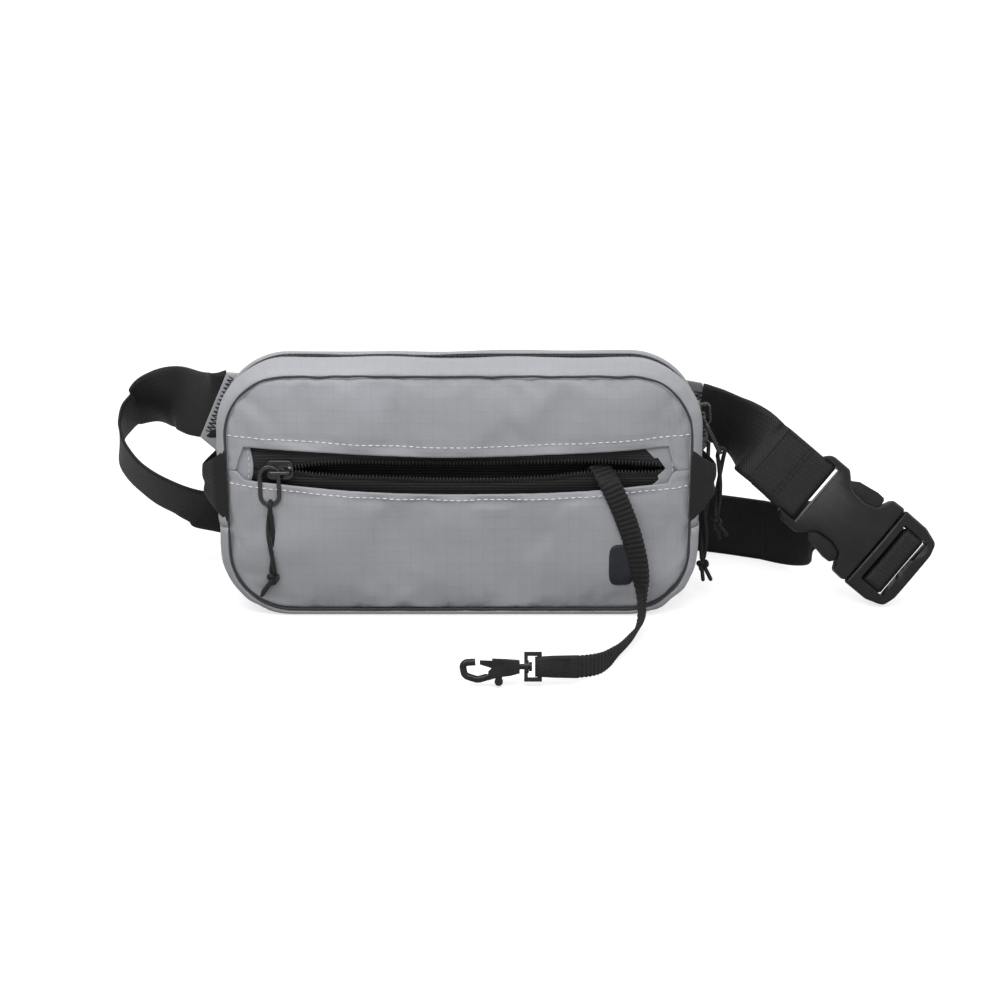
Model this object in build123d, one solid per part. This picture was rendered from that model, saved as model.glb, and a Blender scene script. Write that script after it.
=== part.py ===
from build123d import *
import math
import os

# A small belt bag, in millimetres. +X runs along the bag towards the buckle, the front faces -Y
# and +Z is up. The origin is the centre of the base, on the surface the bag stands on.

os.makedirs("parts", exist_ok=True)

# --- Driving dimensions -------------------------------------------------------------------------
WALL = 2.0             # laminated ripstop with its thin foam backing
GAP = 0.1              # air left between sewn neighbours that only touch
JOIN_Z = 42.0          # height of the seam between the base gusset and the two zip gussets
WEBBING = 30.0         # belt webbing width
WEBBING_THICK = 1.5
TUBE_ROOM = 0.3        # air between a moving piece and what it passes

# Sections of the bag from front to back: (y, half width, lowest z, highest z, corner radius).
FRONT_SEAM = (-26.0, 101.0, 3.0, 110.5, 27.0)
FRONT_SHOULDER = (-20.0, 105.0, 0.0, 112.5, 30.0)
ZIP_FRONT = (-3.5, 105.0, 0.0, 113.0, 30.0)
ZIP_REAR = (3.5, 105.0, 0.0, 113.0, 30.0)
REAR_SHOULDER = (20.0, 104.0, 0.0, 107.0, 29.0)
REAR_SEAM = (26.0, 99.0, 4.0, 101.0, 25.0)

CORNER_X = ZIP_FRONT[1] - ZIP_FRONT[4]      # centre of the arc that the zip follows at a top corner
CORNER_Z = ZIP_FRONT[3] - ZIP_FRONT[4]

PARTS = {}


def keep(name, shape):
    """Store a finished piece under its node name."""
    PARTS[name] = shape


def block(x0, x1, y0, y1, z0, z1):
    """A box between two corners."""
    return Pos((x0 + x1) / 2, (y0 + y1) / 2, (z0 + z1) / 2) * Box(x1 - x0, y1 - y0, z1 - z0)


# --- The sewn shell -----------------------------------------------------------------------------
def section(station, inset=0.0):
    """The bag's rounded outline at one station, drawn in by inset."""
    y, half, low, high, radius = station
    place = Plane.XZ.offset(-y) * Pos(0, (low + high) / 2)
    return place * RectangleRounded(2 * (half - inset), high - low - 2 * inset, radius - inset)


def band(first, second, wall=WALL, inset=0.0):
    """A closed fabric band between two stations."""
    outer = loft([section(first, inset), section(second, inset)])
    inner = loft([section(first, inset + wall), section(second, inset + wall)])
    return outer - inner


def plate(station, inset, y0, y1):
    """A flat panel with a station's outline, between two depths."""
    y, half, low, high, radius = station
    outline = Plane.XZ.offset(-y0) * Pos(0, (low + high) / 2)
    face = outline * RectangleRounded(2 * (half - inset), high - low - 2 * inset, radius - inset)
    return extrude(face, amount=y1 - y0, dir=(0, 1, 0))


ABOVE_JOIN = block(-200, 200, -60, 60, JOIN_Z + GAP / 2, 200)
BELOW_JOIN = block(-200, 200, -60, 60, -20, JOIN_Z - GAP / 2)

front_bands = band(FRONT_SEAM, FRONT_SHOULDER) + band(FRONT_SHOULDER, ZIP_FRONT)
rear_bands = band(ZIP_REAR, REAR_SHOULDER) + band(REAR_SHOULDER, REAR_SEAM)
keep("front_gusset", front_bands & ABOVE_JOIN)
keep("rear_gusset", rear_bands & ABOVE_JOIN)
keep("base_gusset", (front_bands + band(ZIP_FRONT, ZIP_REAR) + rear_bands) & BELOW_JOIN)


def crown_zip(y0, y1, wall, inset):
    """One strip of the main zip, up one side, over the crown and down the other."""
    first = (y0,) + ZIP_FRONT[1:]
    second = (y1,) + ZIP_FRONT[1:]
    return band(first, second, wall, inset) & ABOVE_JOIN


TAPE_INSET = 0.8
TAPE_THICK = 1.0
COIL_HALF = 1.4
keep("main_zip_tape_front", crown_zip(ZIP_FRONT[0], -COIL_HALF, TAPE_THICK, TAPE_INSET))
keep("main_zip_tape_rear", crown_zip(COIL_HALF, ZIP_REAR[0], TAPE_THICK, TAPE_INSET))
keep("main_zip_coil", crown_zip(-COIL_HALF, COIL_HALF, 1.6, TAPE_INSET))

stop = block(-1.6, 1.6, -2.2, 2.2, 0, 1.8)
stops = [
    Pos(side * (ZIP_FRONT[1] - TAPE_INSET - 1.6 - 1.85), 0, JOIN_Z + 4) * Rot(0, side * 90, 0) * stop
    for side in (-1, 1)
]
keep("main_zip_stops", Compound(children=stops))

# Back: outer panel, foam pad and lining, from the outside in.
BACK_FACE = REAR_SEAM[0]
keep("back_panel", plate(REAR_SEAM, WALL + GAP, BACK_FACE - WALL, BACK_FACE))
keep("back_foam", plate(REAR_SEAM, WALL + 2.0, BACK_FACE - WALL - 3.6, BACK_FACE - WALL - GAP))
keep("back_lining", plate(REAR_SEAM, WALL + 1.2, BACK_FACE - WALL - 4.5, BACK_FACE - WALL - 3.7))

# --- Front pocket -------------------------------------------------------------------------------
FACE_Y = FRONT_SEAM[0]
WINDOW_TOP = [(-93.0, 79.0), (0.0, 74.8), (90.0, 79.0)]
WINDOW_LOW = [(-94.0, 64.0), (0.0, 58.0), (90.0, 62.5)]
MOUTH_TOP = [(-73, 68.8), (-52, 71.2), (0, 71.0), (56, 71.6), (86, 70.2)]
MOUTH_LOW = [(-73, 67.2), (-52, 65.0), (0, 63.4), (36, 64.2), (56, 66.5), (86, 66.6)]


def window(grow):
    """The long window in the front face, between two shallow arcs, with its ends grown outwards."""
    top = [(x + grow * x / max(abs(x), 1), z + grow) for x, z in WINDOW_TOP]
    low = [(x + grow * x / max(abs(x), 1), z - grow) for x, z in WINDOW_LOW]
    lines = [
        ThreePointArc(*top),
        Line(top[2], low[2]),
        ThreePointArc(*reversed(low)),
        Line(low[0], top[0]),
    ]
    return make_face(lines)


def front_slab(face, y0, y1):
    """A flat piece of the front, drawn in X and Z and given its depth."""
    return extrude(Plane.XZ.offset(-y0) * face, amount=y1 - y0, dir=(0, 1, 0))


front_plate = plate(FRONT_SEAM, WALL + GAP, FACE_Y, FACE_Y + WALL)
opened = front_plate - front_slab(window(0), FACE_Y - 1, FACE_Y + WALL + 1)
MID_Z = 68.0
keep("front_upper_panel", opened & block(-200, 200, -60, 0, MID_Z + GAP, 200))
keep("front_lower_panel", opened & block(-200, 200, -60, 0, -20, MID_Z - GAP))

TAPE_Y = FACE_Y + WALL + GAP
TAPE_MARGIN = 5.0
mouth_face = make_face(Polyline(*MOUTH_TOP, *reversed(MOUTH_LOW), close=True))
tape = front_slab(window(TAPE_MARGIN), TAPE_Y, TAPE_Y + TAPE_THICK)
tape -= front_slab(mouth_face, TAPE_Y - 1, TAPE_Y + TAPE_THICK + 1)
closed_left = block(-200, -72, -60, 0, MID_Z - GAP, MID_Z + GAP)
closed_right = block(85.5, 200, -60, 0, MID_Z - GAP, MID_Z + GAP)
tape = tape - closed_left - closed_right
keep("pocket_zip_tape_upper", tape & block(-200, 200, -60, 0, MID_Z, 200))
keep("pocket_zip_tape_lower", tape & block(-200, 200, -60, 0, -20, MID_Z))

# Fabric tabs that cover both ends of the pocket zip, lying on the tapes inside the window.
tab_face = window(-0.3)
tab_layer = front_slab(tab_face, FACE_Y + 0.3, FACE_Y + WALL)
keep("pocket_tab_left", tab_layer & block(-200, -88.5, -60, 0, 0, 200))
notch_line = Polyline((60, 40), (60, 90), (78.5, 77.5), (88, 68.5), (81.5, 59.5), (78, 40), close=True)
tab_end = tab_layer & block(70, 200, -60, 0, 0, 200)
keep("pocket_tab_right", tab_end - front_slab(make_face(notch_line), -40, 0))


COIL_Y = TAPE_Y + TAPE_THICK + 0.05


def coil_run(points, rise):
    """A coil sewn to a tape's edge, as a strip that follows the mouth, a little back from it."""
    front = [(x, z + rise * 0.2) for x, z in points]
    rear = [(x, z + rise * 1.8) for x, z in reversed(points)]
    return front_slab(make_face(Polyline(*front, *rear, close=True)), COIL_Y, COIL_Y + 1.5)


keep("pocket_zip_coil_upper", coil_run(MOUTH_TOP, 1))
keep("pocket_zip_coil_lower", coil_run(MOUTH_LOW, -1))
pocket_stops = [
    block(x - 1.3, x + 1.3, COIL_Y, COIL_Y + 1.8, MID_Z - 2.4, MID_Z + 2.4) for x in (-88.0, 88.6)
]
keep("pocket_zip_stops", Compound(children=pocket_stops))

LINER_BACK = -15.5
liner_station = (0, 97.0, 8.0, 104.0, 24.0)
liner_outer = plate(liner_station, 0, TAPE_Y + 0.1 + TAPE_THICK, LINER_BACK + 1)
liner_inner = plate(liner_station, 1.0, TAPE_Y - 5, LINER_BACK)
keep("pocket_liner", liner_outer - liner_inner)

PATCH = (71.0, 25.5, 11.0, 19.0)
patch_face = Pos(PATCH[0], PATCH[1]) * RectangleRounded(PATCH[2], PATCH[3], 2.5)
keep("rubber_patch", front_slab(patch_face, FACE_Y - 0.9, FACE_Y - 0.05))

# --- Side loops and wings -----------------------------------------------------------------------
LOOP_PLAN = [(101.5, -25.0), (112.2, -17.8), (111.4, -13.2), (103.5, -6.0)]
LOOP_OUTLINE = [(98, 81), (102.6, 77.0), (113.2, 68.0), (111.8, 55.5), (103.6, 45.0), (98, 38)]


def side_loop(side):
    """A folded webbing loop, its face to the front, that stands out from the front seam at the side."""
    route = FilletPolyline(*[(side * x, y, 61.0) for x, y in LOOP_PLAN], radius=2.0)
    across = Plane(origin=route @ 0, x_dir=(0, 0, 1), z_dir=route % 0)
    strip = sweep(across * Rectangle(46.0, 1.4), path=route)
    shape = make_face(Polyline(*[(side * x, z) for x, z in LOOP_OUTLINE], close=True))
    shell = loft([section(FRONT_SEAM), section(FRONT_SHOULDER)])
    shell += loft([section(FRONT_SHOULDER), section(ZIP_FRONT)])
    return (strip & front_slab(shape, -40, 0)) - shell


keep("side_loop_left", side_loop(-1))
keep("side_loop_right", side_loop(1))

WING_THICK = 2.4
WING_LEFT = [(-86, 96.5), (-106.5, 97.5), (-120.0, 67.0), (-112.5, 60.0), (-86, 50)]
WING_RIGHT = [(86, 96.5), (110.0, 92.5), (114.0, 63.5), (109.0, 58.0), (86, 50)]
wing_left_face = make_face(Polyline(*WING_LEFT, close=True))
wing_right_face = make_face(Polyline(*WING_RIGHT, close=True))
WING_Y = BACK_FACE + 0.05
keep("wing_left", front_slab(wing_left_face, WING_Y, WING_Y + WING_THICK))
keep("wing_right", front_slab(wing_right_face, WING_Y, WING_Y + WING_THICK))


# --- Webbing ------------------------------------------------------------------------------------
def webbing_strip(stations, width=WEBBING, thick=WEBBING_THICK):
    """A flat strap through stations: each is a centre and the direction from its low to its high edge."""
    centres = [Vector(*c) for c, _ in stations]
    sections = []
    for i, (centre, (_, lean)) in enumerate(zip(centres, stations)):
        along = (centres[min(i + 1, len(centres) - 1)] - centres[max(i - 1, 0)]).normalized()
        face_out = along.cross(Vector(*lean)).normalized()
        up = face_out.cross(along).normalized()
        place = Plane(origin=centre, x_dir=up, z_dir=along)
        sections.append(place * Rectangle(width, thick))
    strip = loft(sections, ruled=True)
    return strip if strip.volume > 0 else loft(sections[::-1], ruled=True)


# The long strap: from the left wing out to the side, round, and along the floor behind the bag.
LONG_ROUTE = [
    ((-113.6, 27.2, 81.6), (0.36, 0.00, 0.93)),
    ((-123, 38, 79.8), (0.30, 0.12, 0.94)),
    ((-134.5, 54, 78), (0.22, 0.02, 0.97)),
    ((-144.8, 60.5, 74.5), (0.10, -0.35, 0.93)),
    ((-152.5, 62.5, 71.5), (0.00, -0.62, 0.78)),
    ((-158, 60.5, 68.5), (-0.05, -0.80, 0.58)),
    ((-161, 57.5, 63.5), (0.03, -0.88, 0.47)),
    ((-162.3, 55, 59), (0.16, -0.88, 0.44)),
    ((-162, 52.5, 54.7), (0.24, -0.84, 0.49)),
    ((-160.3, 50, 49.8), (0.30, -0.78, 0.55)),
    ((-156.3, 47.8, 44.5), (0.30, -0.75, 0.58)),
    ((-150.8, 46, 39.8), (0.25, -0.72, 0.64)),
    ((-143.2, 44.2, 35), (0.19, -0.68, 0.71)),
    ((-133, 43.5, 30.2), (0.14, -0.66, 0.73)),
    ((-124.1, 46, 26), (0.10, -0.62, 0.77)),
    ((-115.8, 50.5, 22.5), (0.05, -0.50, 0.86)),
    ((-95, 56, 18), (0.02, -0.30, 0.95)),
    ((-65, 61, 15.6), (0.00, -0.12, 0.99)),
    ((-35, 63.5, 15.1), (0.00, 0.00, 1.00)),
    ((10, 64.5, 15.1), (0.00, 0.00, 1.00)),
    ((55, 64, 15.1), (0.00, 0.00, 1.00)),
    ((90, 61, 15.1), (0.00, 0.00, 1.00)),
    ((118, 55, 15.1), (0.00, 0.00, 1.00)),
    ((142, 45, 15.1), (0.00, 0.00, 1.00)),
]
keep("belt_long_webbing", webbing_strip(LONG_ROUTE) - PARTS["wing_left"])

# --- Buckle -------------------------------------------------------------------------------------
# Its own frame: x from the webbing bar of the socket half to the end of the plug half, y across
# the webbing, z out of the face. x = 0 is where the two halves meet.
LEAN_BACK = 19.0       # degrees the buckle's face leans back
SLOPE = 40.5           # degrees its length runs downhill
MEET = Vector(186.0, -6.2, 26.3)

lean, slope = math.radians(LEAN_BACK), math.radians(SLOPE)
downhill = math.sin(slope)
buckle_axis = Vector(math.cos(slope), -downhill * math.sin(lean), -downhill * math.cos(lean))
buckle_face = Vector(0, -math.cos(lean), math.sin(lean))
BUCKLE = Plane(origin=MEET, x_dir=buckle_axis, z_dir=buckle_face)

HALF_W = 21.0          # half the width at the mouth
SOCKET_LEN = 43.5
PLUG_LEN = 22.0
HALF_T = 5.5           # half the thickness on the centre line
CROWN_R = 130.0        # the faces are barrel shaped across the width
PLUG_T = 4.8           # half thickness of the plug's frame
CHANNEL = 15.8         # half width of the passage in the mouth
CHANNEL_T = 2.9        # half height of the passage
PRONG_T = 2.4          # half thickness of a prong
SLOT = 15.4            # half width of a webbing slot
RIM_R = 1.4            # rounding of the mouldings' rims


def both_sides(face):
    """A face drawn above the centre line, joined to its mirror image."""
    return face + mirror(face, about=Plane.XZ)


def crowned(solid, half_t, radius):
    """Trim a block so that both faces curve gently down to its sides."""
    drum = Rot(0, 90, 0) * Cylinder(radius, 120)
    return solid & (Pos(0, 0, half_t - radius) * drum) & (Pos(0, 0, radius - half_t) * drum)


def socket_outline():
    """Half of the socket's outline, with the scallop that bares the prong's button."""
    corners = [
        (0, 0), (0, HALF_W), (-7, HALF_W - 0.4), (-10.5, 13.2), (-16, 11.4),
        (-24, 12.0), (-30.5, 18.4), (-SOCKET_LEN, 18.4), (-SOCKET_LEN, 0),
    ]
    edge = FilletPolyline(*corners, radius=[1.4, 2.0, 2.6, 5.0, 6.0, 2.4, 5.0])
    return make_face([*edge.edges(), Line(corners[-1], corners[0])])


socket = crowned(extrude(both_sides(socket_outline()), amount=HALF_T, both=True), HALF_T, CROWN_R)
rim = [e for e in socket.edges() if abs(e.center().Z) > 1.5]
socket = fillet(rim, RIM_R)
socket -= block(-31, 1, -CHANNEL, CHANNEL, -CHANNEL_T, CHANNEL_T)
socket -= block(-29.3, -9, -30, 30, -CHANNEL_T, CHANNEL_T)
socket -= block(-38.8, -33.6, -SLOT, SLOT, -10, 10)
socket -= block(-50, -38.7, -SLOT, SLOT, 2.3, 10)
socket -= block(-50, -38.7, -SLOT, SLOT, -10, -2.3)
keep("buckle_female", BUCKLE * socket)

# Plug half: frame with two webbing slots, and a guide post that enters the socket.
PIVOT = (1.4, 11.4)
PIVOT_R = 1.8
FACE_X = 0.4           # where the plug's frame meets the socket
frame_corners = [
    (FACE_X, 0), (FACE_X, HALF_W), (13, HALF_W - 0.2), (20.4, 18.2), (PLUG_LEN, 12.5), (PLUG_LEN, 0),
]
frame_edge = FilletPolyline(*frame_corners, radius=[1.4, 6.0, 3.5, 6.0])
frame_face = make_face([*frame_edge.edges(), Line(frame_corners[-1], frame_corners[0])])
plug = crowned(extrude(both_sides(frame_face), amount=PLUG_T, both=True), PLUG_T, CROWN_R)
rim = [e for e in plug.edges() if abs(e.center().Z) > 1.5]
plug = fillet(rim, RIM_R)
plug -= block(4.4, 17.2, -SLOT, SLOT, 1.5, 10)
plug -= block(4.4, 17.2, -SLOT, SLOT, -10, -2.2)
plug -= block(4.4, 8.2, -SLOT, SLOT, -10, 10)
plug -= block(13.4, 17.2, -SLOT, SLOT, -10, 10)
for side in (-1, 1):
    plug -= Pos(PIVOT[0], side * PIVOT[1], 0) * Cylinder(PIVOT_R + TUBE_ROOM, 2 * CHANNEL_T)
    plug -= block(0, PIVOT[0], side * PIVOT[1] - 2.7, side * PIVOT[1] + 2.7, -CHANNEL_T, CHANNEL_T)
post_line = Polyline((0.6, -4), (0.6, 4), (-22, 2.2), (-25, 1.2), (-25, -1.2), (-22, -2.2), close=True)
post = extrude(make_face(post_line), amount=2.2, both=True)
keep("buckle_male", BUCKLE * (plug + post))


def prong(side):
    """One springy arm of the plug, ending in the button that a finger presses."""
    arm = [
        (1.4, 9.8), (-12, 10.2), (-22, 10.6), (-27.0, 11.4), (-28.0, 13.0), (-27.2, 14.8),
        (-23.5, 17.2), (-14, 18.9), (-10.6, 18.7), (-9.7, 17.6), (-9.5, 15.2), (-7, 13.9), (1.4, 13.0),
    ]
    body = extrude(make_face(Polyline(*arm, close=True)), amount=PRONG_T, both=True)
    body += Pos(PIVOT[0], PIVOT[1], 0) * Cylinder(PIVOT_R, 2 * PRONG_T)
    return body if side > 0 else mirror(body, about=Plane.XZ)


keep("prong_upper", BUCKLE * prong(1))
keep("prong_lower", BUCKLE * prong(-1))


def flat_run(points, radius, width, thick):
    """Webbing bent in the buckle's x-z plane, as wide as width across it."""
    route = FilletPolyline(*[(x, 0, z) for x, z in points], radius=radius)
    across = Plane(origin=route @ 0, x_dir=(0, 1, 0), z_dir=route % 0)
    return sweep(across * Rectangle(width, thick), path=route)


WRAP = [
    (-9.0, -7.7), (1.0, -6.9), (5.6, -6.3), (6.3, -3.4), (6.4, 2.7),
    (15.2, 2.7), (15.3, -6.4), (12.0, -9.2), (-5.0, -9.6),
]
keep("belt_male_wrap", BUCKLE * flat_run(WRAP, 1.2, WEBBING, WEBBING_THICK))
FOLD = [
    (-62.0, 3.4), (-47.0, 3.6), (-36.2, 3.2), (-36.4, -3.2), (-47.0, -3.4), (-53.0, 0.4), (-60.0, 1.2),
]
keep("belt_short_fold", BUCKLE * flat_run(FOLD, 1.4, WEBBING, WEBBING_THICK))


def in_buckle(x, y, z):
    """A point of the buckle's frame, in the bag's frame."""
    return BUCKLE.from_local_coords(Vector(x, y, z))


buckle_up = BUCKLE.y_dir
SHORT_ROUTE = [
    ((113.0, 27.2, 77.6), (-0.14, -0.20, 0.97)),
    ((119, 26, 76.5), (-0.02, -0.28, 0.96)),
    ((126, 22, 73.5), (0.20, -0.25, 0.93)),
    ((132, 14, 70.2), (0.45, -0.02, 0.88)),
    (tuple(in_buckle(-67.6, 0, 1.4)), tuple(buckle_up)),
    (tuple(in_buckle(-62.8, 0, 3.3)), tuple(buckle_up)),
]
keep("belt_short_webbing", webbing_strip(SHORT_ROUTE) - PARTS["wing_right"])

FLEX_ROUTE = [
    ((143.4, 44.1, 15.1), (0.00, 0.00, 1.00)),
    ((154, 37, 15.7), (0.08, 0.02, 1.00)),
    ((163, 26, 21), (0.25, 0.08, 0.95)),
    (tuple(in_buckle(-21, -3.5, -14.5)), (0.50, 0.18, 0.82)),
    (tuple(in_buckle(-15, 0, -8.8)), tuple(buckle_up)),
    (tuple(in_buckle(-9.6, 0, -7.8)), tuple(buckle_up)),
]
keep("belt_flex_webbing", webbing_strip(FLEX_ROUTE))

# --- Zip sliders, rings and pull cords ----------------------------------------------------------
SLIDER_L = 12.0
SLIDER_W = 9.0
BAIL_TOP = 6.4
RING_WIRE = 0.95       # radius of the ring's wire
RING_L = 19.0
RING_W = 10.0


def slider_outer():
    """The part of a slider that shows on a closed zip: outer wing and bail."""
    wing = extrude(RectangleRounded(SLIDER_L, SLIDER_W, 2.6), amount=1.7)
    wing = fillet(wing.edges().group_by(Axis.Z)[-1], 0.6)
    arch = BAIL_TOP - 0.9
    route = FilletPolyline((-4.4, 0, 1.0), (-4.4, 0, arch), (4.4, 0, arch), (4.4, 0, 1.0), radius=1.6)
    bail = sweep(Plane(origin=route @ 0, z_dir=route % 0) * Circle(0.9), path=route)
    return wing + bail


def slider_body(depth_behind):
    """A whole coil zip slider: x along the zip, z outwards."""
    neck = block(4.6, 5.8, -0.6, 0.6, -depth_behind - 0.5, 0.5)
    inner = extrude(RectangleRounded(SLIDER_L, SLIDER_W - 2, 2.2), amount=1.2)
    return slider_outer() + neck + Pos(0, 0, -depth_behind - 1.2) * inner


def pull_ring():
    """A long wire ring that hangs from one leg of the bail. The leg stands at the origin."""
    top = 2.2
    half = RING_W / 2 - RING_WIRE
    low = top - RING_L + 2 * RING_WIRE
    outer = RectangleRounded(2 * half + 2 * RING_WIRE, RING_L, half + RING_WIRE - 0.01)
    inner = RectangleRounded(2 * half - 2 * RING_WIRE, RING_L - 4 * RING_WIRE, half - RING_WIRE - 0.01)
    flat = Pos(0, (top + low) / 2) * (outer - inner)
    ring = extrude(flat, amount=RING_WIRE, both=True)
    rims = [e for e in ring.edges() if abs(abs(e.center().Z) - RING_WIRE) < 0.01]
    return fillet(rims, RING_WIRE * 0.6)


RING_DROP = RING_L - 2 * RING_WIRE - 2.2     # from the leg down to the middle of the ring's lower wire
CORD_D = 2.8           # a tube of the same section as two 2 mm strands
CORD_TOP = 1.3         # where a cord starts below the middle of the ring's lower wire
KNOT_R = 3.1


def cord_tube(points, diameter):
    """A tube along straight runs joined by arcs as large as the runs allow."""
    path = [Vector(*p) for p in points]
    radii = []
    for before, here, after in zip(path, path[1:], path[2:]):
        turn = math.radians((here - before).get_angle(after - here))
        shorter = min((here - before).length, (after - here).length)
        radii.append(0.45 * shorter / math.tan(turn / 2))
    route = FilletPolyline(*path, radius=radii)
    return sweep(Plane(origin=route @ 0, z_dir=route % 0) * Circle(diameter / 2), path=route)


def knot(centre, tail_to):
    """An overhand knot with its two short tails, as one lump."""
    run = Vector(*tail_to) - Vector(*centre)
    flat = Plane(origin=centre, z_dir=run) * RectangleRounded(3.8, 1.9, 0.9)
    ball = Plane(origin=centre, x_dir=run * -1, z_dir=run.cross(Vector(0, 1, 0))) * Sphere(KNOT_R)
    return ball + extrude(flat, amount=run.length)


# Pocket slider, near the left end of the open pocket zip.
POCKET_X = -77.5
pocket_place = Plane(origin=(POCKET_X, TAPE_Y - 0.3, MID_Z), x_dir=(1, 0, 0), z_dir=(0, -1, 0))
keep("pocket_slider", pocket_place * slider_body(COIL_Y + 1.5 - TAPE_Y + 0.3 + 0.2))
RING_OUT = 3.6         # height of a ring above its slider's lower face
LEG = -4.4
pocket_leg = (POCKET_X + LEG, TAPE_Y - 0.3 - RING_OUT, MID_Z)
keep("pocket_pull_ring", Plane(origin=pocket_leg, x_dir=(1, 0, 0), z_dir=(0, -1, 0)) * pull_ring())
px, py, pz = pocket_leg[0], pocket_leg[1], pocket_leg[2] - RING_DROP
POCKET_CORD = [
    (px, py - 0.2, pz - 2 * CORD_TOP), (px - 0.5, py - 1.0, pz - 11), (px + 0.3, py - 1.6, pz - 21),
    (px + 0.1, py - 1.6, pz - 31.6),
]
keep("pocket_pull_cord", cord_tube(POCKET_CORD, CORD_D))
pocket_knot = (px + 0.1, py - 1.6, pz - 31.7 - KNOT_R)
keep("pocket_pull_knot", knot(pocket_knot, (px - 6.0, py - 1.2, pocket_knot[2] - 6.5)))

# Main sliders a and b, on the right side of the crown zip.
SURFACE = ZIP_FRONT[1] + 0.15      # where a slider's lower face runs, on the straight side
A_ANGLE = math.radians(5.0)
a_radius = SURFACE - CORNER_X
a_origin = Vector(CORNER_X + a_radius * math.cos(A_ANGLE), 0, CORNER_Z + a_radius * math.sin(A_ANGLE))
a_down = Vector(math.sin(A_ANGLE), 0, -math.cos(A_ANGLE))
a_out = Vector(math.cos(A_ANGLE), 0, math.sin(A_ANGLE))
B_Z = 69.0
b_origin = Vector(SURFACE, 0, B_Z)
DOWN, OUT = Vector(0, 0, -1), Vector(1, 0, 0)


def hang(name, origin, down, out, tilt, cord_points, tail):
    """A main slider with its ring, tilted out from the bag, and its cord hanging from the ring."""
    keep(f"{name}_slider", Plane(origin=origin, x_dir=down, z_dir=out) * slider_outer())
    leg = origin + down * (-LEG) + out * RING_OUT
    ring_down = down * math.cos(tilt) + out * math.sin(tilt)
    ring_out = out * math.cos(tilt) - down * math.sin(tilt)
    place = Plane(origin=leg, x_dir=ring_out.cross(ring_down), z_dir=ring_out)
    keep(f"{name}_pull_ring", place * pull_ring())
    low = leg + ring_down * (RING_DROP + CORD_TOP)
    route = [(low.X + dx, low.Y + dy, low.Z + dz) for dx, dy, dz in cord_points]
    keep(f"{name}_pull_cord", cord_tube(route, CORD_D))
    x, y, z = route[-1]
    centre = (x, y, z - KNOT_R - 0.1)
    keep(f"{name}_pull_knot", knot(centre, (x + tail[0], y + tail[1], z - KNOT_R + tail[2])))


A_CORD = [(0, 0, -1.3), (0.1, 0.8, -10), (-0.5, 1.2, -20), (-1.0, 1.0, -30.5)]
B_CORD = [(0, 0, -1.3), (0.5, -0.8, -10), (0.3, -1.6, -20), (0.2, -1.8, -31.0)]
hang("main_a", a_origin, a_down, a_out, math.radians(22.0), A_CORD, (4.0, 1.0, -5.5))
hang("main_b", b_origin, DOWN, OUT, math.radians(3.0), B_CORD, (2.0, -3.0, -5.0))

# --- Leash --------------------------------------------------------------------------------------
LEASH_W = 10.0
LEASH_D = 3.9          # a tube of the same section as the flat 10 mm tape
LEASH_ROUTE = [
    (61.0, -22.4, 69.0), (63.6, -29.6, 66.4), (67.6, -31.0, 58.6), (72.0, -30.6, 48.4),
    (75.8, -30.6, 37.4), (78.6, -30.9, 26.2), (80.0, -32.6, 15.6), (79.9, -38.4, 7.4),
    (78.4, -47.8, 5.0), (74.8, -58.6, 4.8), (69.6, -69.6, 4.6), (64.2, -80.6, 4.3),
    (57.4, -90.8, 5.0), (48.6, -97.0, 7.3),
]
keep("leash_webbing", cord_tube(LEASH_ROUTE, LEASH_D))
anchor = FilletPolyline((60.6, -16.2, 44), (60.6, -16.2, 58), (60.6, -20.3, 68.8), radius=6)
anchor_across = Plane(origin=anchor @ 0, x_dir=(1, 0, 0), z_dir=anchor % 0)
keep("leash_anchor", sweep(anchor_across * Rectangle(LEASH_W, 1.2), path=anchor))

# Snap hook: x from the swivel towards the hook's nose, y down towards the thumb knob.
HOOK_AT = Vector(26.0, -98.5, 8.0)
HOOK = Plane(origin=HOOK_AT, x_dir=(-1, 0, 0), z_dir=buckle_face)
HOOK_T = 2.2

eye = block(-8.8, -1.6, -6, 6, -1.2, 1.2) - block(-6.9, -3.1, -4.4, 4.4, -3, 3)
eye += Pos(-2.55, 0, 0) * Rot(0, 90, 0) * Cylinder(2.6, 1.9)
eye -= Pos(-3, 0, 0) * Rot(0, 90, 0) * Cylinder(1.35, 8)
keep("swivel_eye", HOOK * eye)

body_line = Polyline(
    (0.2, -2.6), (0.2, 2.6), (4, 3.6), (9, 4.2), (13, 5.4), (13, 2.0),
    (11.4, 0.6), (11.4, -3.2), (6, -3.0), close=True,
)
body = extrude(make_face(body_line), amount=HOOK_T, both=True)
ARM = [(12.6, 3.9, 0), (17.2, 5.3, 0), (22.6, 3.6, 0), (23.6, -1.6, 0), (18.2, -1.9, 0)]
arm_route = FilletPolyline(*ARM, radius=[4.0, 2.6, 1.9])
arm = sweep(Plane(origin=arm_route @ 0, z_dir=arm_route % 0) * Circle(1.45), path=arm_route)
stem = Pos(-1.5, 0, 0) * Rot(0, 90, 0) * Cylinder(1.15, 4.4)
stem += Pos(-4.2, 0, 0) * Rot(0, 90, 0) * Cylinder(1.9, 1.2)
gate_slot = block(5.0, 14.0, -4, 3.0, -1.15, 1.15) + block(6.0, 11.6, 0, 8, -1.15, 1.15)
GATE_PIVOT = (8.0, -0.6)
pin_hole = Pos(GATE_PIVOT[0], GATE_PIVOT[1], 0) * Cylinder(0.65, 10)
keep("hook_body", HOOK * (body + arm + stem - gate_slot - pin_hole))
keep("hook_pin", HOOK * (Pos(GATE_PIVOT[0], GATE_PIVOT[1], 0) * Cylinder(0.65, 2 * HOOK_T)))
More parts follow.
